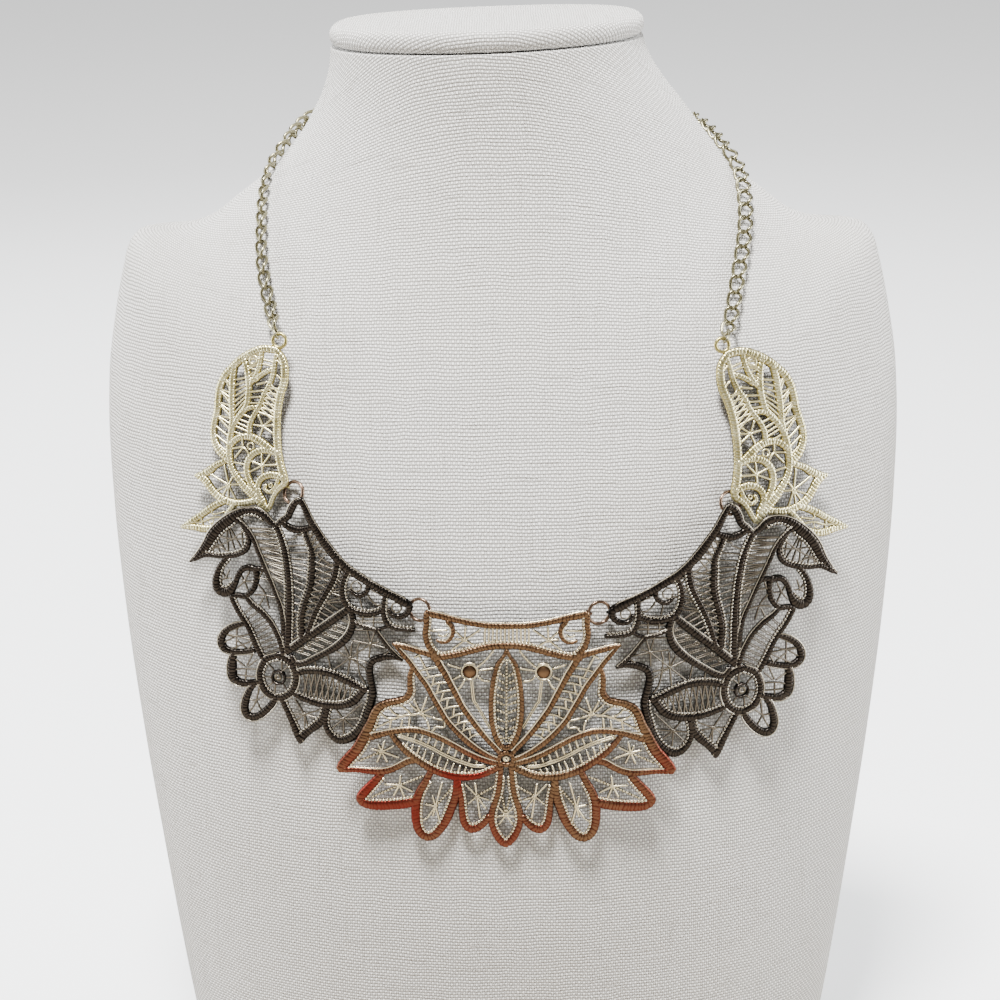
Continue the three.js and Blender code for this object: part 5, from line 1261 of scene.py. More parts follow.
        ((2.9, -0.8), (4.6, -3.4)), ((3.5, 0.8), (6.5, 1.3)), ((0.4, -0.7), (-1.9, -2.7)),
        ((23.7, 19.9), (31, 20.1)), ((23.4, 18.6), (31.4, 19)), ((22.8, 16.3), (28.3, 16.4)),
        ((25.4, 21), (25.2, 17.4)), ((28.4, 21.2), (28.2, 16.6)), ((15.6, 9), (16.8, 3.4)),
        ((12, 7), (12.6, 3.6)), ((9, 5.4), (9.4, 3.2)),
        ((24.6, 12.8), (23.9, 10.2), (24.6, 4), (26.4, 1)), ((33, 11), (30.4, 9)),
        ((14.2, -5.4), (13.6, -8)), ((12.2, 33.6), (15.4, 37.4)), ((12, 36.4), (17.4, 33)),
        ((11.6, 38.2), (13.4, 40)),
    ),
    doubles=(
        ((-8.9, 17.4), (-6, 20)), ((-8.1, 15.9), (-4.2, 19)), ((-7.3, 14.6), (-2.6, 17.6)),
        ((-6.6, 13.2), (-1.4, 16.6)), ((-6, 11.8), (-0.4, 15.4)), ((-5.4, 10.4), (0.6, 13.8)),
        ((-4.9, 9.2), (1.3, 12.2)), ((-4.2, 7.8), (1.9, 10.6)), ((-3.4, 6.4), (2.3, 9)),
        ((19, 19.1), (21.8, 17.9)), ((17.2, 17.4), (21.2, 16.2)), ((15.3, 16.1), (20.6, 14.8)),
        ((13.6, 14.6), (19, 13.2)), ((11.8, 13.3), (17.2, 11.6)), ((9.9, 11.9), (15.2, 10.2)),
        ((7.9, 10.4), (13.2, 9)), ((6, 9), (11.2, 7.7)),
    ),
)

END = Drawing(
    stitch=Stitch.BRAIDED,
    ribs={
        "rim_right": ((6.2, 22, 1.6), (8.3, 19.8, 1.7), (9.2, 16.8, 1.9), (9.2, 13.5, 1.9),
            (8.5, 10.5, 1.9), (8.1, 6.5, 1.8), (8.1, 2.5, 1.8), (8.4, -1.5, 1.8), (9, -5.5, 1.8),
            (9.9, -9, 1.9), (11, -12, 1.9), (11.2, -13.6, 1.6), (9.6, -15.3, 1.3),
            (8.4, -17.4, 1.1), (7.6, -19.6, 1.1), (7, -20.9, 1)),
        "rim_left": ((6.2, 22, 1.7), (3.6, 22.2, 1.8), (1, 21.6, 1.9), (-1.6, 20.2, 2),
            (-3.9, 18.5, 2), (-6, 16.3, 2), (-7.8, 14, 2), (-8.9, 11.2, 2), (-9.2, 8, 1.9),
            (-9.2, 4.8, 1.9), (-9.7, 2, 1.8), (-10, -0.8, 1.7), (-9.6, -3.2, 1.8),
            (-8.6, -5.2, 1.9), (-7.1, -6.9, 1.9), (-5.2, -8, 1.8)),
        "rib_b": ((-5.1, 17.4, 1.6), (-5.4, 14, 1.7), (-5.3, 11, 1.7), (-5.2, 8, 1.7),
            (-4.9, 5, 1.6), (-4.6, 2.5, 1.6), (-4.6, 0, 1.7), (-4.9, -2.5, 1.8), (-5, -5, 1.8),
            (-4.8, -7.5, 1.7), (-4.3, -9.7, 1.6), (-3.2, -11.8, 1.6), (-1.6, -13.7, 1.7),
            (0, -15.4, 1.9), (2, -17, 2), (4, -18.6, 2), (5.8, -20, 1.8), (6.9, -20.9, 1.4)),
        "rib_c": ((-2.8, 19.4, 1.4), (-1.7, 17, 1.5), (-1, 14.5, 1.6), (-0.6, 12, 1.6),
            (-0.5, 9.5, 1.6), (-0.7, 7, 1.6), (-1.5, 5, 1.6), (-2.9, 3.2, 1.5), (-3.9, 1.4, 1.5),
            (-4.6, -0.6, 1.5)),
        "rib_d": ((2.3, 21.6, 1.1), (2.3, 19.3, 1.1), (1.9, 17, 1.2), (1.2, 14.8, 1.2),
            (0.2, 12.8, 1.2)),
        "rib_e": ((6.2, 16.8, 1.2), (4.4, 16.2, 1.3), (2.6, 15, 1.3), (1.2, 13.6, 1.3)),
        "rib_f": ((6.6, 20.8, 1.1), (6.3, 19, 1.1), (6.2, 17, 1.2), (5.9, 14.6, 1.3),
            (5.1, 12.2, 1.3), (4.1, 10.2, 1.3), (3.5, 8.2, 1.3), (2.8, 6.3, 1.4), (1.6, 4.2, 1.3),
            (0.8, 2.2, 1.3), (0.5, 0.4, 1.3), (0.8, -1.4, 1.3)),
        "rib_g": ((2.6, 6.2, 1.2), (0.9, 6.2, 1.2), (-0.8, 5.6, 1.3)),
        "curl_top": ((-4.9, -4.6, 1.6), (-3.3, -2.8, 1.6), (-1.4, -1.9, 1.7), (1, -1.8, 1.8),
            (3.4, -2.6, 1.9), (5.4, -3.9, 2), (7.2, -5, 1.9), (8.8, -5.6, 1.6)),
        "curl": ((8.4, -5.6, 1.4), (6, -5.1, 1.6), (3.8, -5.3, 1.7), (1.8, -6.5, 1.7),
            (0.6, -8.5, 1.7), (0.4, -10.8, 1.6), (1, -13, 1.6), (2.2, -15, 1.6), (3.8, -16.8, 1.6),
            (5.4, -18.8, 1.5)),
        "spiral": ((10.6, -12.2, 1.4), (8.8, -11.6, 1.6), (6.6, -11.7, 1.7), (4.7, -12.8, 1.6),
            (3.8, -14.8, 1.5), (4.3, -17, 1.5), (5.7, -18.9, 1.5)),
        "spiral_eye": ((9.6, -12.2, 1.1), (8.9, -14.6, 1), (7.4, -16.2, 1), (6, -15.6, 0.9),
            (6.1, -14.4, 0.8)),
        "leaf_top": ((-4.8, -8.2, 1.5), (-6.8, -9.2, 1.5), (-8.8, -10.3, 1.6), (-10.7, -12, 2),
            (-12.6, -13, 1.6), (-14.6, -13.4, 0.7)),
        "leaf_low": ((-14.6, -13.5, 0.7), (-11.9, -14.4, 1.9), (-10.2, -16.2, 1.8),
            (-8.4, -18, 1.8), (-6.1, -19.3, 1.8), (-3.6, -19.9, 1.7), (-1, -19.9, 1.6),
            (1.4, -19.4, 1.6), (3.8, -18.7, 1.6)),
        "spur_top": ((-5.6, -19.7, 1.6), (-7.8, -20.8, 1.7), (-10.2, -22.4, 1.7),
            (-12.8, -24.4, 1.6), (-15.2, -26.1, 1.6), (-18.2, -27.9, 0.7)),
        "spur_low": ((-18, -28, 0.7), (-14.6, -27.6, 1.5), (-11.6, -27.8, 1.7), (-8.6, -27.3, 1.7),
            (-6.2, -25.8, 1.6), (-4.8, -23.6, 1.5), (-3.4, -21.4, 1.4), (-2.4, -20, 1.4)),
    },
    lacings=(
        Lacing(("rib_b", "rib_c"), (0.1, 0.36), (0.26, 0.56), 7, Lay.RUNGS),
        Lacing(("rim_left", "rib_b"), (0.42, 0.72), (0.14, 0.42), 7, Lay.ZIGZAG),
        Lacing(("rib_f", "rim_right"), (0.34, 0.7), (0.25, 0.46), 6, Lay.CROSSED),
        Lacing(("rib_c", "rib_d"), (0.02, 0.3), (0.1, 0.9), 5, Lay.ZIGZAG),
        Lacing(("rim_left", "rib_b"), (0.74, 0.96), (0.46, 0.66), 4, Lay.RUNGS),
    ),
    spiders=(
        Spider((4.4, 1.3), ((2.6, 4.6), (7.4, 4.2), (7.6, 2), (7.6, -0.6), (1.2, 1.6), (3.5, -2))),
        Spider((4.8, -9.2), ((1.2, -8.2), (9.2, -8.7), (1, -11.4), (5, -11.8), (7.2, -5.6),
            (4.4, -5.9))),
        Spider((-4.6, -15.2), ((-10.4, -12.6), (-6.2, -9.6), (-3.2, -12.4), (-1.2, -14.8),
            (-2.2, -19.4), (-4.5, -19.4), (-6.4, -18.8), (-8.6, -17.4))),
    ),
    rings=(
        Ring((0.3, 18.9), 1.1, 0.8), Ring((1.2, -4.3), 0.9, 0.5), Ring((-9.4, -25.4), 0.75, 0.4),
        Ring((7.4, -14.4), 0.5, 0.4),
    ),
    wires=(
        ((2.6, 19.4), (6.4, 18.6)), ((2.4, 18.2), (6.4, 17.5)), ((1.4, 12.3), (4.9, 13.4)),
        ((-0.4, 10.2), (4, 11)), ((-0.4, 8.7), (3.6, 9.3)), ((-1, 7.2), (3.4, 7.6)),
        ((-2, 4.2), (1.4, 3.2)), ((-3, 2.9), (0.8, 1.7)), ((-3.6, 1.9), (0.5, 0.5)),
        ((-4, 0.9), (0.4, -0.5)), ((-4.4, -0.6), (-0.6, -1.6)),
        ((-4.4, -5.4), (-1, -4.8), (1, -6.6)), ((-1, -4.8), (-1.4, -2.2)), ((-1, -4.8), (-3.4, -8)),
        ((-3.8, -9), (0.6, -9.4)), ((-2.6, -11.6), (0.6, -11.8)), ((-1, -13.6), (1.2, -13)),
        ((-15.8, -26.6), (-11.8, -25.9), (-9, -24.6), (-5.2, -24.2)),
        ((-9, -21.8), (-8.9, -23.6), (-5.4, -22.6)), ((-12.4, -24.4), (-11.6, -27.4)),
        ((6.8, 15.6), (8.8, 14)), ((6.4, 19.6), (8.4, 18)),
    ),
)


@dataclass(frozen=True)
class Seat:
    """Where a plate sits on the bust: a point on its back, the way it faces, its bend and turn."""

    at: Place
    yaw: float
    lean: float
    bend: float
    bend_up: float
    roll: float
    mirror: int
    scale: float

    def place(self, u: Array | float, v: Array | float, h: Array | float) -> Array:
        """Points of the bent plate: the flat place is turned by the roll, carried round a circle of
        the bend across and sunk by half its square over the bend up.

        Args:
            u: Distance across the drawing.
            v: Distance up the drawing.
            h: Height above the plate's back.

        Returns:
            Points with one more axis of length 3.
        """
        yaw, lean, roll = np.radians((self.yaw, self.lean, self.roll))
        normal = np.array([np.sin(yaw) * np.cos(lean), -np.cos(yaw) * np.cos(lean), np.sin(lean)])
        across = np.array([np.cos(yaw), np.sin(yaw), 0.0])
        up = np.cross(normal, across)
        u, v, h = np.broadcast_arrays(np.asarray(u) * self.mirror * self.scale,
                                      np.asarray(v) * self.scale, h)
        aside = u * np.cos(roll) - v * np.sin(roll)
        above = u * np.sin(roll) + v * np.cos(roll)
        reach = self.bend + h
        depth = reach * np.cos(aside / self.bend) - self.bend - above**2 / (2 * self.bend_up)
        return (np.array(self.at) + (reach * np.sin(aside / self.bend))[..., None] * across
                + above[..., None] * up + depth[..., None] * normal)

    def outward(self, u: Array | float, v: Array | float) -> Array:
        """The way out of the plate at a place on its drawing."""
        return unit(self.place(u, v, 1.0) - self.place(u, v, 0.0))


SEATS = {
    "centre": Seat((-0.2, -76.8, 124.6), -0.4, 1.5, 437, 1110, -0.8, 1, 1.005),
    "side_left": Seat((-63.7, -66.7, 148.5), -13.1, 4.3, 415, 874, -1.1, 1, 0.995),
    "side_right": Seat((66.2, -65.9, 142.8), 15.3, 3.1, 352, 920, -3.0, -1, 1.034),
    "end_left": Seat((-68.8, -53.4, 215.5), -16.1, 15.5, 180, 386, -0.4, 1, 1.0),
    "end_right": Seat((71.1, -53.6, 212.6), 17.6, 14.3, 158, 388, 6.5, -1, 1.069),
}

# Each jump ring passes behind the corners of its two plates: seat -> place on the drawing.
JOINTS: dict[str, dict[str, Point]] = {
    "ring_end_side_left": {"end_left": (11.6, -14.2), "side_left": (6.9, 50.8)},
    "ring_end_side_right": {"end_right": (10.7, -13.0), "side_right": (8.0, 49.2)},
    "ring_side_centre_left": {"side_left": (37.9, 23.3), "centre": (-20.6, 44.7)},
    "ring_side_centre_right": {"side_right": (38.4, 23.3), "centre": (21.8, 44.9)},
}
RING_DEPTH = -0.68
RING_WIRE = 0.94
BAIL_RADIUS = 0.9
BAIL_WIRE = 0.5
LOOP_AT = (7.0, 24.6)
LOOP_HEIGHT = 0.6
LOOP_RADIUS = 1.85
LOOP_WIRE = 1.0

# Places on the centre plate that a red flush has taken: [across, up, spread, strength].
FLUSHES = (
    (-14.0, -1.0, 4.2, 0.95), (-7.5, -1.0, 3.6, 0.7), (-23.6, -13.0, 5.0, 0.75),
    (-34.0, -9.6, 5.5, 0.7), (-38.5, -4.0, 4.0, 0.5), (-11.0, -15.0, 4.5, 0.55),
    (0.0, -19.0, 4.5, 0.6), (11.0, -15.6, 4.0, 0.45), (23.5, -12.0, 4.5, 0.35),
    (36.0, -9.6, 5.0, 0.5), (43.0, 2.0, 4.0, 0.55), (-42.0, 2.5, 4.0, 0.45), (25.0, 4.0, 5.0, 0.25),
)
FULLEST_FLUSH = 0.95
WIRE_FLUSH = 0.35
BOSS_FLUSH = 0.3

# Round a rib's section: shares of its half width, and of its thickness.
RIB_ACROSS = np.array([0.97, 1, 0.93, 0.72, 0.42, 0.14, -0.14, -0.42, -0.72, -0.93, -1, -0.97])
RIB_RISE = np.array([0.0, 0.32, 0.66, 0.87, 0.97, 1, 1, 0.97, 0.87, 0.66, 0.32, 0.0])
RIB_CLOSE = np.array([0.97, 0.86, 0.62, 0.33])  # places past a rib's end, outermost first
RIB_END = 0.8  # how far those places reach, of the half width
RIB_END_HEIGHT = 0.35
RIB_END_REACH = 0.4  # how far the stitches run on over an end
RIB_PARTS = 5  # rows per stitch
STITCH_SLANT = {Stitch.WOUND: 0.3, Stitch.RIDGED: 0.06, Stitch.BRAIDED: 0.42}
STITCH_WANDER = ((0.16, 1.9, 0.0), (0.12, 0.83, 1.0))  # size, rate and start of each slow sine
STITCH_SHARPNESS = 20
STITCH_FROM, STITCH_OVER = 0.3, 0.4  # the rise that the cut begins at, and grows over
STITCH_PINCH = 0.16
BRAID_GROOVE, BRAID_WIDTH = 0.55, 0.22
LEAST_CREST = 0.12
WIRE_SIDES = 7
WIRE_STEP = 0.4
WIRE_SWELL, WIRE_PERIOD = 0.06, 0.8
WIRE_HEIGHT, TRIM_HEIGHT, TRIM_GAP = 0.55, 0.9, 0.02
WIRE_TAPER, WIRE_TIP = 0.5, 0.35  # an end's taper, of the thickness, and its least share
# how much and how sharply a wire's outward side is brightened: a painted highlight with some wear
WIRE_RUB_AND_GLINT, WIRE_GLINT_SHARPNESS = 1.05, 1.2
BEAD_PARTS = 6
BEAD_WAIST, BEAD_ROUNDNESS = 0.45, 0.6
BEAD_HEIGHT, BEAD_TRIM_HEIGHT, BEAD_TRIM_GAP = 0.62, 0.72, 0.16
LACE_BEAD = 0.9  # of the linings' beads
BOSS_SIDES = 12
BOSS_FOOT, BOSS_HEIGHT, BOSS_FLARE = 0.35, 0.75, 1.12
# the crest value at a boss's foot, which sets the painted shade there
BOSS_CREST = 0.35
DOUBLE_GAP, DOUBLE_WIRE, DOUBLE_HEIGHT = 0.24, 0.62, 0.5
CAST_RING_HEIGHT, CAST_RING_CREST = 0.65, 0.9


@dataclass(frozen=True)
class Gauge:
    """A wire's or bead row's thickness, its middle's height, its stretch outward, and its kind."""

    thick: float
    height: float
    tall: float = 1.0
    beaded: bool = False


def in_half(across: Array | float, side: int) -> bool:
    """Whether something is drawn in a half: what lies on the axis is drawn once."""
    return side > 0 or bool(np.any(across))


@dataclass(frozen=True)
class Plate:
    """A cast filigree plate: its ribs, the linings along them and the lace between them."""

    name: str
    node: str
    drawing: Drawing
    slot: str
    rib_finish: MetalFinish
    lining_finish: MetalFinish
    lace_finish: MetalFinish
    pitch: float = 1.0
    thickness: float = 1.25
    spread: float = 1.04
    relief: float = 0.15
    trim_wire: float = 0.5
    bead: float = 0.9
    bead_pitch: float = 0.96
    lace_wire: float = 0.72
    lace_tall: float = 1.35

    @property
    def seat(self) -> Seat:
        """The plate's seat on the bust."""
        return SEATS[self.name]

    def stitch(self, reach: Array, x: Array) -> Array:
        """The height of the cast relief from 0 to 1.

        It is one minus a high power of a cosine along the rib, whose phase wanders as slow sines
        and leans with x. Braided, it leans away from the middle on both sides, with a groove there.

        Args:
            reach: Distance along the rib.
            x: Share of the half width.

        Returns:
            One height per place.
        """
        braided = self.drawing.stitch is Stitch.BRAIDED
        lean = STITCH_SLANT[self.drawing.stitch] * (np.abs(x) if braided else x)
        wander = sum(size * np.sin(reach * rate + start) for size, rate, start in STITCH_WANDER)
        phase = reach / self.pitch + wander + lean
        height = 1 - np.cos(np.pi * phase) ** STITCH_SHARPNESS
        if braided:
            height = height * (1 - BRAID_GROOVE * np.exp(-(x / BRAID_WIDTH) ** 2))
        return height

    def rib(self, rows: tuple[Place, ...], side: int) -> Shell:
        """A rib: a flat-backed dome carried along its line, cut by its stitches, with round ends.

        The dome's section is the table of shares. Past each end the width closes as a circle does
        and the height falls with it.

        Args:
            rows: [across, up, width] along the rib.
            side: 1, or -1 in the mirrored half.

        Returns:
            The shell.
        """
        line, reach = even_line(np.array(rows), self.pitch / RIB_PARTS)
        along, _ = ways_along(line[:, :2])
        half = line[:, 2] / 2 * self.spread
        before = line[0, :2] - along[0] * half[0] * RIB_CLOSE[:, None] * RIB_END
        after = line[-1, :2] + along[-1] * half[-1] * RIB_CLOSE[::-1, None] * RIB_END
        centre = np.vstack([before, line[:, :2], after])
        ends = len(RIB_CLOSE)
        way = np.pad(along, ((ends, ends), (0, 0)), mode="edge")
        half = np.pad(half, ends, mode="edge")
        round_end = np.sqrt(1 - RIB_CLOSE**2)
        shrink = np.concatenate([round_end, np.ones(len(line)), round_end[::-1]])
        reach = np.concatenate([reach[0] - RIB_END_REACH * RIB_CLOSE, reach,
                                reach[-1] + RIB_END_REACH * RIB_CLOSE[::-1]])
        height = self.stitch(reach[:, None], RIB_ACROSS[None, :])
        dent = (1 - height) * np.clip((RIB_RISE - STITCH_FROM) / STITCH_OVER, 0, 1)
        wide = RIB_ACROSS[None, :] * (half * shrink)[:, None] * (1 - STITCH_PINCH * dent)
        u = (centre[:, 0, None] - way[:, 1, None] * wide) * side
        v = centre[:, 1, None] + way[:, 0, None] * wide
        h = ((RIB_RISE[None, :] * self.thickness - self.relief * dent)
             * (RIB_END_HEIGHT + (1 - RIB_END_HEIGHT) * shrink[:, None]))
        # painted shade and highlight: the crest value falls in the stitches' grooves and down the
        # rib's sides, which take the recess colour, and peaks on the top, which takes the worn
        # colour
        crest = ((0.5 + 0.5 * height)
                 * (LEAST_CREST + (1 - LEAST_CREST) * RIB_RISE[None, :] ** 1.5))
        values = {"crest": crest, "ruddy": self.ruddy(u, v)}
        return tube_shell(self.seat.place(u, v, h), side * self.seat.mirror < 0, values)

    def ruddy(self, u: Array, v: Array) -> Array:
        """The red flush from 0 to 1: on the centre plate, a sum of bell curves about its places."""
        if self.name != "centre":
            return np.zeros(np.shape(u))
        total = sum(s * np.exp(-((u - a) ** 2 + (v - b) ** 2) / (2 * r * r))
                    for a, b, r, s in FLUSHES)
        return np.clip(total, 0, FULLEST_FLUSH)

    def wire(self, line: Array, side: int, gauge: Gauge) -> Shell:
        """A wire over the drawing: a circle carried along the line and stretched outward; beads
        swell it as the sine of the way along, and its ends are rounded off.

        Args:
            line: Points of the drawing.
            side: 1, or -1 in the mirrored half.
            gauge: The wire's sizes and kind.

        Returns:
            The shell.
        """
        flat, reach = even_line(line, self.bead_pitch / BEAD_PARTS if gauge.beaded else WIRE_STEP)
        if gauge.beaded:
            swell = np.abs(np.sin(np.pi * reach / self.bead_pitch)) ** BEAD_ROUNDNESS
            size = BEAD_WAIST + (1 - BEAD_WAIST) * swell
        else:
            swell = size = 1 - WIRE_SWELL + WIRE_SWELL * np.cos(2 * np.pi * reach / WIRE_PERIOD)
        to_end = np.minimum(reach, reach[-1] - reach)
        taper = np.clip(to_end / (WIRE_TAPER * gauge.thick) + WIRE_TIP, 0, 1)
        radius = gauge.thick / 2 * size * taper
        u, v = flat[:, 0] * side, flat[:, 1]
        centres = self.seat.place(u, v, gauge.height)
        outward = self.seat.outward(u, v)
        points = wire_grid(centres, outward, radius * self.seat.scale, WIRE_SIDES)
        lift = np.sum((points - centres[:, None]) * outward[:, None], axis=-1, keepdims=True)
        points = points + (gauge.tall - 1) * lift * outward[:, None]
        # painted highlight and shade: the wire's outward side gets a high crest value and its side
        # towards the plate a low one, so it is bright on top, partly as wear, and dark beneath;
        # bead waists get lower values too
        upper = np.clip(np.sin(turns(WIRE_SIDES)), 0, 1)
        top = LEAST_CREST + WIRE_RUB_AND_GLINT * upper**WIRE_GLINT_SHARPNESS
        crest = top[None, :] * (0.3 + 0.7 * swell)[:, None]
        ruddy = np.repeat(WIRE_FLUSH * self.ruddy(u, v)[:, None], WIRE_SIDES, axis=1)
        return tube_shell(points, False, {"crest": crest, "ruddy": ruddy})

    def ribs(self) -> Shell:
        """All the ribs and discs, in each half of the drawing, and the cast fittings."""
        halves = self.drawing.halves
        ribs = [self.rib(rows, side) for side in halves for rows in self.drawing.ribs.values()]
        discs = [self.boss((u, v), radius, side) for side in halves
                 for u, v, radius in self.drawing.discs]
        return joined(ribs + discs + self.fittings())

    def rib_line(self, name: str, start: float, end: float) -> Array:
        """The middle line of a rib with its width, over a share of its length; a start beyond the
        end runs it backwards."""
        line, reach = even_line(np.array(self.drawing.ribs[name]), WIRE_STEP)
        count = max(3, round(abs(end - start) * reach[-1] / WIRE_STEP))
        return columns_at(np.linspace(start, end, count) * reach[-1], reach, line)

    def linings(self) -> list[Shell]:
        """The wires and bead rows along the ribs' edges: a rib's line carried aside by its half
        width."""
        looks = {Trim.BEADED: (Gauge(self.bead, BEAD_TRIM_HEIGHT, beaded=True), BEAD_TRIM_GAP),
                 Trim.SMOOTH: (Gauge(self.trim_wire, TRIM_HEIGHT), TRIM_GAP)}
        shells = []
        for lining in self.drawing.linings:
            gauge, gap = looks[lining.trim]
            line = self.rib_line(lining.rib, lining.start, lining.end)
            aside = ways_along(line[:, :2])[1] * lining.edge.value
            edge = line[:, :2] + aside * (line[:, 2:] / 2 * self.spread + gap)
            shells += [self.wire(edge, side, gauge) for side in self.drawing.halves]
        return shells

    def laced(self, lacing: Lacing) -> list[Array]:
        """The lines of a lacing: places at even shares of the two ribs, joined by its lay. A zigzag
        has a bar at every second place as well."""
        share = np.linspace(0, 1, lacing.count + 1)
        a, b = (spline(self.rib_line(rib, *part)[:, :2], share)
                for rib, part in zip(lacing.ribs, (lacing.first, lacing.second)))
        bars = [np.stack(pair) for pair in zip(a, b)]
        if lacing.lay is Lay.RUNGS:
            return bars
        sway = [np.stack(pair) for pair in zip(a, b[1:])]
        back = [np.stack(pair) for pair in zip(b, a[1:])]
        if lacing.lay is Lay.CROSSED:
            return sway + back
        return [(sway, back)[i % 2][i] for i in range(lacing.count)] + bars[::2]

    def boss(self, at: Point, radius: float, side: int) -> Shell:
        """A spider's boss or a disc: a quarter ellipse spun about its middle.

        Args:
            at: Its middle on the drawing.
            radius: Its radius, before the flare at its foot.
            side: 1, or -1 in the mirrored half.

        Returns:
            The shell.
        """
        tilt = np.linspace(0.02, 0.98, 7)[:, None] * np.pi / 2
        turn = turns(BOSS_SIDES)[None]
        wide = radius * BOSS_FLARE * np.cos(tilt)
        u = (at[0] + wide * np.cos(turn)) * side
        v = at[1] + wide * np.sin(turn)
        # painted shade and highlight: the crest value rises from the foot to the top, so the foot
        # takes the recess colour and the top the worn colour
        crest = np.repeat(BOSS_CREST + (1 - BOSS_CREST) * np.sin(tilt), BOSS_SIDES, axis=1)
        values = {"crest": crest, "ruddy": BOSS_FLUSH * self.ruddy(u, v)}
        points = self.seat.place(u, v, BOSS_FOOT + BOSS_HEIGHT * np.sin(tilt))
        return tube_shell(points, side * self.seat.mirror < 0, values)

    def cast_ring(self, ring: Ring, side: int) -> Shell:
        """A small ring of the lace."""
        place = (ring.at[0] * side, ring.at[1])
        centre = self.seat.place(*place, CAST_RING_HEIGHT)
        radius = ring.radius * self.seat.scale
        return ring_shell(centre, self.seat.outward(*place), radius, ring.wire, 22, 8,
                          CAST_RING_CREST)

    def lace(self) -> list[Shell]:
        """The wires, lacings, spiders and small rings between the ribs."""
        drawing, spiders = self.drawing, self.drawing.spiders
        single = Gauge(self.lace_wire, WIRE_HEIGHT, self.lace_tall)
        double = Gauge(self.lace_wire * DOUBLE_WIRE, DOUBLE_HEIGHT, self.lace_tall)
        beaded = Gauge(self.bead * LACE_BEAD, BEAD_HEIGHT, beaded=True)
        wires = [np.array(line, float) for line in drawing.wires]
        wires += [line for lacing in drawing.lacings for line in self.laced(lacing)]
        wires += [np.array([s.at, leg], float) for s in spiders for leg in s.legs]
        pairs = []
        for line in (np.array(line, float) for line in drawing.doubles):
            aside = ways_along(line)[1] * DOUBLE_GAP
            pairs += [line + aside, line - aside]
        beads = [np.array(line, float) for line in drawing.beads]
        beads += [np.array([s.at, leg], float) for s in spiders for leg in s.beaded]
        shells = []
        for side in drawing.halves:
            for lines, gauge in ((wires, single), (pairs, double), (beads, beaded)):
                shells += [self.wire(line, side, gauge) for line in lines
                           if in_half(line[:, 0], side)]
            shells += [self.boss(s.at, s.boss, side) for s in spiders if in_half(s.at[0], side)]
            shells += [self.cast_ring(ring, side) for ring in drawing.rings
                       if in_half(ring.at[0], side)]
        return shells

    def fittings(self) -> list[Shell]:
        """The small rings behind the plate's corners and, on an end plate, its cast loop."""
        shells = []
        for ends in JOINTS.values():
            if self.name in ends:
                other = next(key for key in ends if key != self.name)
                here = self.seat.place(*ends[self.name], RING_DEPTH)
                towards = SEATS[other].place(*ends[other], RING_DEPTH) - here
                axis = np.cross(towards, self.seat.outward(*ends[self.name]))
                shells.append(ring_shell(here, axis, BAIL_RADIUS, BAIL_WIRE, 24, 10))
        if self.name.startswith("end"):
            centre = self.seat.place(*LOOP_AT, LOOP_HEIGHT)
            shells.append(ring_shell(centre, self.seat.outward(*LOOP_AT), LOOP_RADIUS, LOOP_WIRE,
                                     48, 14))
        return shells

    def build(self, dressings: Dressings) -> list[bpy.types.Object]:
        """The plate's pieces: ribs, linings where it has them, and lace."""
        parts = [("ribs", self.ribs(), self.rib_finish)]
        if self.drawing.linings:
            parts.append(("linings", joined(self.linings()), self.lining_finish))
        parts.append(("lace", joined(self.lace()), self.lace_finish))
        return [make_piece(f"{self.name}_{part}", shell, dressings.of(finish), self.node)
                for part, shell, finish in parts]


# ---- rings, connectors, chain and clasp -----------------------------------------------------
# Each chain's way from its end plate to the nape: [bust level, turn from the front in degrees].
CHAIN_WAY = {
    "left": ((7.65, -44.9), (6.95, -50.8), (6.39, -56.5), (5.81, -63.4), (5.21, -73.2),
             (4.73, -83.4), (4.3, -90), (3.8, -105), (3.5, -130), (3.4, -155), (3.4, -180)),
    "right": ((7.95, 43.0), (7.15, 48.8), (6.57, 54.7), (6.01, 62.2), (5.35, 72.1),
              (4.81, 83.8), (4.35, 90), (3.8, 105), (3.5, 130), (3.4, 155), (3.4, 180)),
}


@dataclass(frozen=True)
class JumpRings:
    """The four rings that join the plates: each a circle through the two bails."""

    def build(self, dressings: Dressings) -> list[bpy.types.Object]:
        """One piece for each ring."""
        pieces = []
        for name, ends in JOINTS.items():
            a, b = (SEATS[key].place(*at, RING_DEPTH) for key, at in ends.items())
            outward = sum(SEATS[key].outward(*at) for key, at in ends.items())
            radius = np.linalg.norm(b - a) / 2
            shell = ring_shell((a + b) / 2, square_to(outward, b - a), radius, RING_WIRE, 56, 14)
            pieces.append(make_piece(f"{name}_wire", shell, dressings.of(ROSE_RINGS),
                                     name))
        return pieces


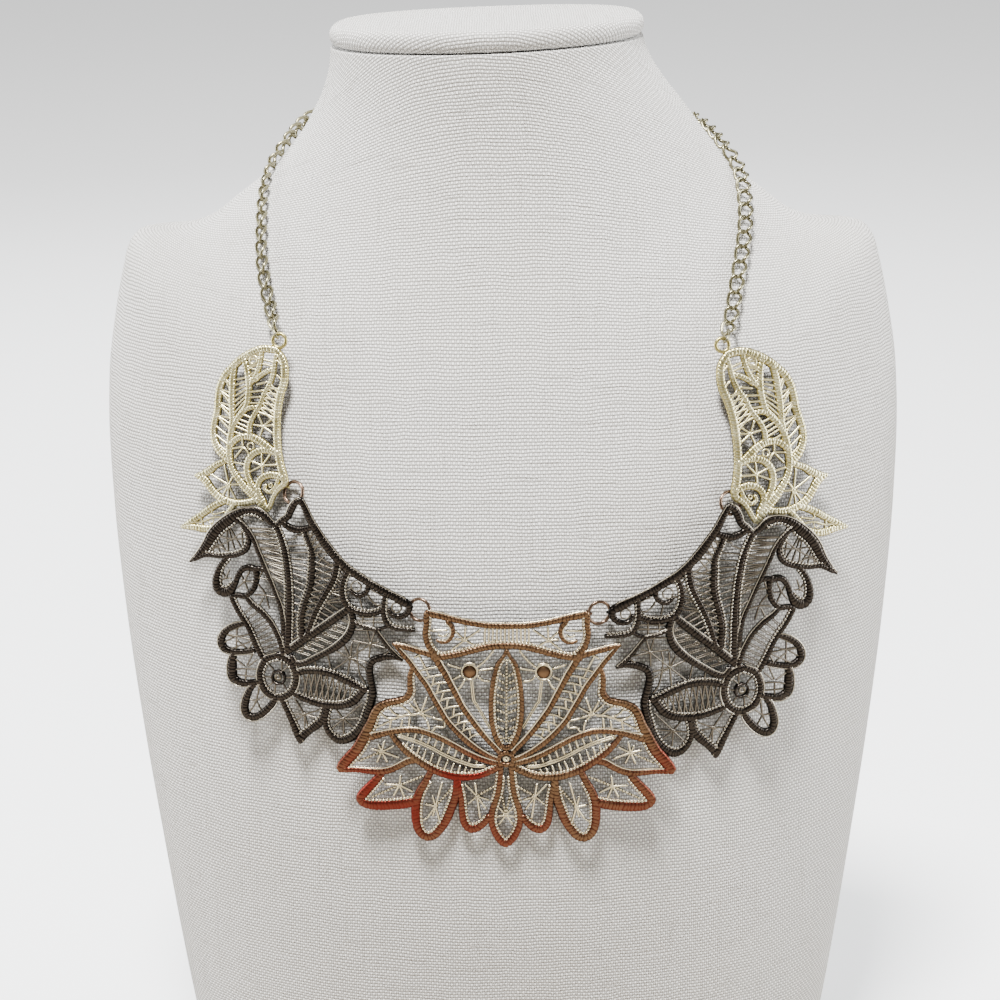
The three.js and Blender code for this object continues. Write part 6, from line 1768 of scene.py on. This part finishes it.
@dataclass(frozen=True)
class Strand:
    """One side's chain: an oval connector from the cast loop, then twisted links to the nape."""

    side: str
    link_length: float = 6.15
    link_width: float = 4.6
    link_wire: float = 0.98
    link_rows: int = 28
    link_sides: int = 9
    least_rubbed: float = 0.46
    end_rubbed: float = 0.18
    twist: float = 0.75
    tilt: float = -34.0
    pitch: float = 4.85
    lift: float = 1.65
    nape_lift: float = 3.2
    nape_from: float = 140.0
    connector_length: float = 2.35
    connector_width: float = 1.3
    connector_wire: float = 0.7
    connector_rows: int = 36
    connector_sides: int = 10
    play: float = 0.25
    clasp_half: float = 6.5
    way_points: int = 48
    line_points: int = 2400

    def hanging(self) -> tuple[Array, Array, Array, Array]:
        """The line over the cast loop's top towards the chain's first resting place.

        Returns:
            The way along it, the way out from the cloth, and the connector's and the chain's
            first points.
        """
        seat = SEATS[f"end_{self.side}"]
        outward = seat.outward(*LOOP_AT)
        level, degrees = CHAIN_WAY[self.side][0]
        turn = np.radians(degrees)
        rest = BUST.point(level, turn) + BUST.normal(level, turn) * self.lift
        loop = seat.place(*LOOP_AT, LOOP_HEIGHT)
        top = loop + LOOP_RADIUS * square_to(rest - loop, outward)
        along = unit(rest - top)
        length, wire = self.connector_length, self.connector_wire
        first = length - (LOOP_WIRE + wire) / 2 - self.play
        then = first + length - (wire + self.link_wire) / 2 - self.play
        return along, square_to(outward, along), top + along * first, top + along * then

    def line(self) -> tuple[Array, Array, Array]:
        """The line that the links follow: points of the bust's skin lifted along its normals.

        Returns:
            Points, the ways out from the cloth, and reaches along the line.
        """
        _, outward, _, start = self.hanging()
        way = spline(np.array(CHAIN_WAY[self.side]), np.linspace(0, 1, self.way_points + 1),
                     Knots.CENTRIPETAL)
        level, turn = way[:, 0], np.radians(way[:, 1])
        normal = BUST.normal(level, turn)
        nape = np.clip((np.abs(way[:, 1]) - self.nape_from) / (180 - self.nape_from), 0, 1)
        nape = nape * nape * (3 - 2 * nape)
        lift = self.lift + (self.nape_lift - self.lift) * nape
        resting = BUST.point(level, turn) + normal * lift[:, None]
        share = np.linspace(0, 1, self.line_points)
        line = spline(np.vstack([start, resting]), share, Knots.CENTRIPETAL)
        tips = np.vstack([start + outward, resting + normal])
        out = spline(tips, share, Knots.CENTRIPETAL) - line
        return line, unit(out), reach_of(line)

    def at(self, reach: Array) -> tuple[Array, Array]:
        """Points of the line and the ways out from the cloth at reaches along it."""
        line, out, reaches = self.line()
        return columns_at(reach, reaches, line), unit(columns_at(reach, reaches, out))

    def count(self) -> int:
        """How many links fit before the clasp."""
        return 1 + int((self.line()[2][-1] - self.link_length - self.clasp_half) / self.pitch)

    def links(self) -> Shell:
        """The links: each an oval tilted about the line, whose wire rises and falls twice a turn,
        so that it lies between its neighbours."""
        half = (self.link_length - self.link_wire) / 2
        wide = (self.link_width - self.link_wire) / 2
        starts = np.arange(self.count()) * self.pitch
        near, mid, far = (self.at(starts + reach) for reach in (0, half, 2 * half))
        along = unit(far[0] - near[0])
        up = square_to(mid[1], along)
        tilt = np.radians(self.tilt)
        across = np.cross(up, along) * np.cos(tilt) + up * np.sin(tilt)
        up = np.cross(along, across)
        centre = (near[0] + far[0]) / 2
        turn = turns(self.link_rows)[:, None]
        centres = (centre[:, None] + half * np.cos(turn) * along[:, None]
                   + wide * np.sin(turn) * across[:, None]
                   + self.twist * np.sin(2 * turn) * up[:, None])
        rubbed = self.least_rubbed + self.end_rubbed * np.cos(turn) ** 2
        return joined([loop_shell(line, axis, self.link_wire, self.link_sides, rubbed)
                       for line, axis in zip(centres, up)])

    def connector(self) -> Shell:
        """The oval ring that stands on edge between the cast loop and the chain."""
        along, outward, centre, _ = self.hanging()
        turn = turns(self.connector_rows)[:, None]
        centres = (centre + self.connector_length * np.cos(turn) * along
                   + self.connector_width * np.sin(turn) * outward)
        return loop_shell(centres, np.cross(along, outward), self.connector_wire,
                          self.connector_sides)

    def build(self, dressings: Dressings) -> list[bpy.types.Object]:
        """The connector and the chain as pieces."""
        metal = dressings.of(CHAMPAGNE_CHAIN)
        return [
            make_piece(f"connector_{self.side}_oval", self.connector(), metal,
                       f"connector_{self.side}"),
            make_piece(f"chain_{self.side}_links", self.links(), metal,
                       f"chain_{self.side}"),
        ]


@dataclass(frozen=True)
class Clasp:
    """A plain barrel between two loops, each round the last bar of a chain."""

    strands: tuple[Strand, Strand]
    radius: float = 1.6
    rows: int = 121
    sides: int = 32
    overlap: float = 0.01
    tip: float = 0.002
    rounding: float = 0.18
    roundness: float = 0.75
    least_radius: float = 0.02
    crest: float = 0.7
    groove_dulling_and_shade: float = 0.6
    loop_radius: float = 1.5
    loop_wire: float = 0.8
    loop_offset: float = 0.4
    seam: float = 0.12
    grooves: tuple[float, ...] = (0.24, 0.3, 0.5, 0.7, 0.76)
    groove_width: float = 0.012

    def barrel(self, start: Array, end: Array) -> Shell:
        """The barrel between two points: its radius is flat between rounded ends, with two turned
        grooves by each end and the seam of its two halves in the middle."""
        length = np.linalg.norm(end - start)
        way = (end - start) / length
        share = np.linspace(-self.overlap, 1 + self.overlap, self.rows)
        tip = self.overlap + self.tip
        close = np.clip(np.minimum(share + tip, 1 + tip - share) / self.rounding, 0, 1)
        cuts = sum(np.exp(-(((share - at) / self.groove_width) ** 2)) for at in self.grooves)
        radius = self.radius * np.sin(np.pi / 2 * close) ** self.roundness
        radius = np.maximum(radius - self.seam * cuts, self.least_radius)
        side = square_to(np.array([0.0, 0.0, 1.0]), way)
        turn = turns(self.sides)[:, None]
        ring = np.cos(turn) * side + np.sin(turn) * np.cross(way, side)
        points = start + (share * length)[:, None, None] * way + radius[:, None, None] * ring[None]
        # the grooves get a lower crest value, so they are rougher and take the darker recess
        # colour: painted shade with tarnish
        crest = self.crest - self.groove_dulling_and_shade * np.clip(cuts, 0, 1)
        crest = np.repeat(crest[:, None], self.sides, axis=1)
        return tube_shell(points, False, {"crest": crest})

    def build(self, dressings: Dressings) -> list[bpy.types.Object]:
        """The clasp as one piece."""
        shells = []
        necks = []
        for strand in self.strands:
            end = (strand.count() - 1) * strand.pitch + strand.link_length - strand.link_wire
            (bar, before), (out, _) = strand.at(np.array([end, end - 1.0]))
            along = unit(bar - before)
            centre = bar + along * self.loop_offset
            axis = np.cross(square_to(out, along), along)
            shells.append(ring_shell(centre, axis, self.loop_radius, self.loop_wire, 36, 10))
            necks.append(centre + along * self.loop_radius)
        shells.append(self.barrel(*necks))
        metal = dressings.of(CHAMPAGNE_CHAIN)
        return [make_piece("clasp_barrel", joined(shells), metal, "clasp")]


# ---- the studio -----------------------------------------------------------------------------
@dataclass(frozen=True)
class Lamp:
    """A soft square lamp: its place in millimetres, its size in metres, and its power."""

    name: str
    at: Place
    size: float
    power: float
    colour: Colour


@dataclass(frozen=True)
class Studio:
    """A pale floor, soft light and the camera."""

    eye: Place = (0.0, -630.6, 382.4)
    aim: Place = (0.0, -60.0, 197.0)
    roll: float = 0.6
    lens: float = 80.0
    film: float = 36.0
    shift_x: float = -0.004
    near: float = 0.01
    middle: Place = (0.0, -40.0, 160.0)
    lamps: tuple[Lamp, ...] = (
        Lamp("key", (-200.0, -640.0, 2000.0), 0.42, 160.0, (1.0, 0.99, 0.975)),
        Lamp("left", (-950.0, -60.0, 380.0), 0.6, 13.0, (0.96, 0.98, 1.0)),
        Lamp("right", (950.0, -100.0, 350.0), 0.6, 17.0, (0.96, 0.98, 1.0)),
        Lamp("rim", (-250.0, 900.0, 950.0), 0.9, 14.0, (0.95, 0.98, 1.0)),
    )
    sky: Colour = (0.95, 0.86, 0.72)
    sky_strength: float = 0.11
    sky_seen: Colour = (0.84, 0.85, 0.86)
    seen_strength: float = 0.95
    floor_size: float = 40.0
    floor_seen: Colour = (0.80, 0.81, 0.82)
    floor_felt: Colour = (0.30, 0.27, 0.23)
    floor_glow: float = 1.1
    floor_roughness: float = 0.9

    def build(self) -> None:
        """Makes the floor, the sky, the lamps and the camera."""
        self.floor()
        self.soft_sky()
        for lamp in self.lamps:
            data = bpy.data.lights.new(lamp.name, "AREA")
            data.shape = "SQUARE"
            data.size = lamp.size
            data.energy = lamp.power
            data.color = lamp.colour
            self.aimed(bpy.data.objects.new(lamp.name, data), lamp.at, self.middle)
        data = bpy.data.cameras.new("camera")
        data.lens = self.lens
        data.sensor_width = self.film
        data.shift_x = self.shift_x
        data.clip_start = self.near
        camera = bpy.data.objects.new("camera", data)
        self.aimed(camera, self.eye, self.aim, self.roll)
        bpy.context.scene.camera = camera

    def aimed(self, thing: bpy.types.Object, at: Place, target: Place, roll: float = 0.0) -> None:
        """Puts a lamp or camera in the scene, looking at a target with its top up.

        Args:
            thing: The lamp or camera.
            at: Its place in the bust's millimetres.
            target: The point that it looks at.
            roll: Its turn about its own line of sight, in degrees.
        """
        at, target = in_metres(np.array(at)), in_metres(np.array(target))
        back = unit(at - target)
        right = unit(np.cross((0.0, 0.0, 1.0), back))
        top = np.cross(back, right)
        c, s = np.cos(np.radians(roll)), np.sin(np.radians(roll))
        axes = np.column_stack([right * c - top * s, top * c + right * s, back, at])
        bpy.context.scene.collection.objects.link(thing)
        thing.matrix_world = Matrix(axes.tolist() + [[0.0, 0.0, 0.0, 1.0]])

    def seen(self, graph: Graph) -> Socket:
        """1 for what the camera sees itself, 0 for the light that things throw on each other."""
        return graph.node("ShaderNodeLightPath").outputs["Is Camera Ray"]

    def soft_sky(self) -> None:
        """A sky that is brighter and plainer to the camera than the light it gives."""
        world = bpy.data.worlds.new("soft_sky")
        world.use_nodes = True
        graph = Graph(world.node_tree)
        seen = self.seen(graph)
        extra = self.seen_strength - self.sky_strength
        graph.feed_all(world.node_tree.nodes["Background"], {
            "Color": graph.mix(seen, self.sky, self.sky_seen),
            "Strength": graph.math("MULTIPLY_ADD", seen, extra, self.sky_strength)})
        bpy.context.scene.world = world

    def floor(self) -> None:
        """A wide pale sheet at the base's height, which throws back less light than it shows."""
        reach = self.floor_size
        mesh = bpy.data.meshes.new("floor")
        corners = [(x * reach, y * reach, 0.0) for x, y in ((-1, -1), (1, -1), (1, 1), (-1, 1))]
        mesh.from_pydata(corners, [], [(0, 1, 2, 3)])
        material, graph, surface = new_material("pale_floor")
        seen = self.seen(graph)
        graph.feed_all(surface, {
            "Base Color": graph.mix(seen, self.floor_felt, self.floor_seen),
            "Emission Color": self.floor_seen,
            "Emission Strength": graph.math("MULTIPLY", seen, self.floor_glow),
            "Roughness": self.floor_roughness})
        mesh.materials.append(material)
        floor = bpy.data.objects.new("floor", mesh)
        bpy.context.scene.collection.objects.link(floor)


def plates() -> list[Plate]:
    """The five plates: the centre, then the two sides and the two ends, left before right."""
    copper = (COPPER_RIBS, COPPER_LININGS, COPPER_LACE)
    gunmetal = (GUNMETAL_RIBS, GUNMETAL_LININGS, GUNMETAL_LACE)
    champagne = (CHAMPAGNE_RIBS, CHAMPAGNE_RIBS, CHAMPAGNE_LACE)
    centre = Plate("centre", "centre_plate", CENTRE, "copper", *copper)
    sides = [Plate(f"side_{hand}", f"side_plate_{hand}", SIDE, "gunmetal", *gunmetal, pitch=0.9,
                   spread=1.12, lace_wire=0.56) for hand in ("left", "right")]
    ends = [Plate(f"end_{hand}", f"end_plate_{hand}", END, "champagne", *champagne, pitch=0.85,
                  spread=1.22, relief=0.26) for hand in ("left", "right")]
    return [centre, *sides, *ends]


def main() -> None:
    """Builds the studio and the classes in order."""
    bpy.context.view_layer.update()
    Studio().build()
    dressings = Dressings(Weave().group(), PatinaAndShade().group())
    strands = (Strand("left"), Strand("right"))
    assemblies = (BUST, *plates(), JumpRings(), *strands, Clasp(strands))
    pieces = [piece for assembly in assemblies for piece in assembly.build(dressings)]
    log.info("%d pieces", len(pieces))


if __name__ == "__main__":
    main()
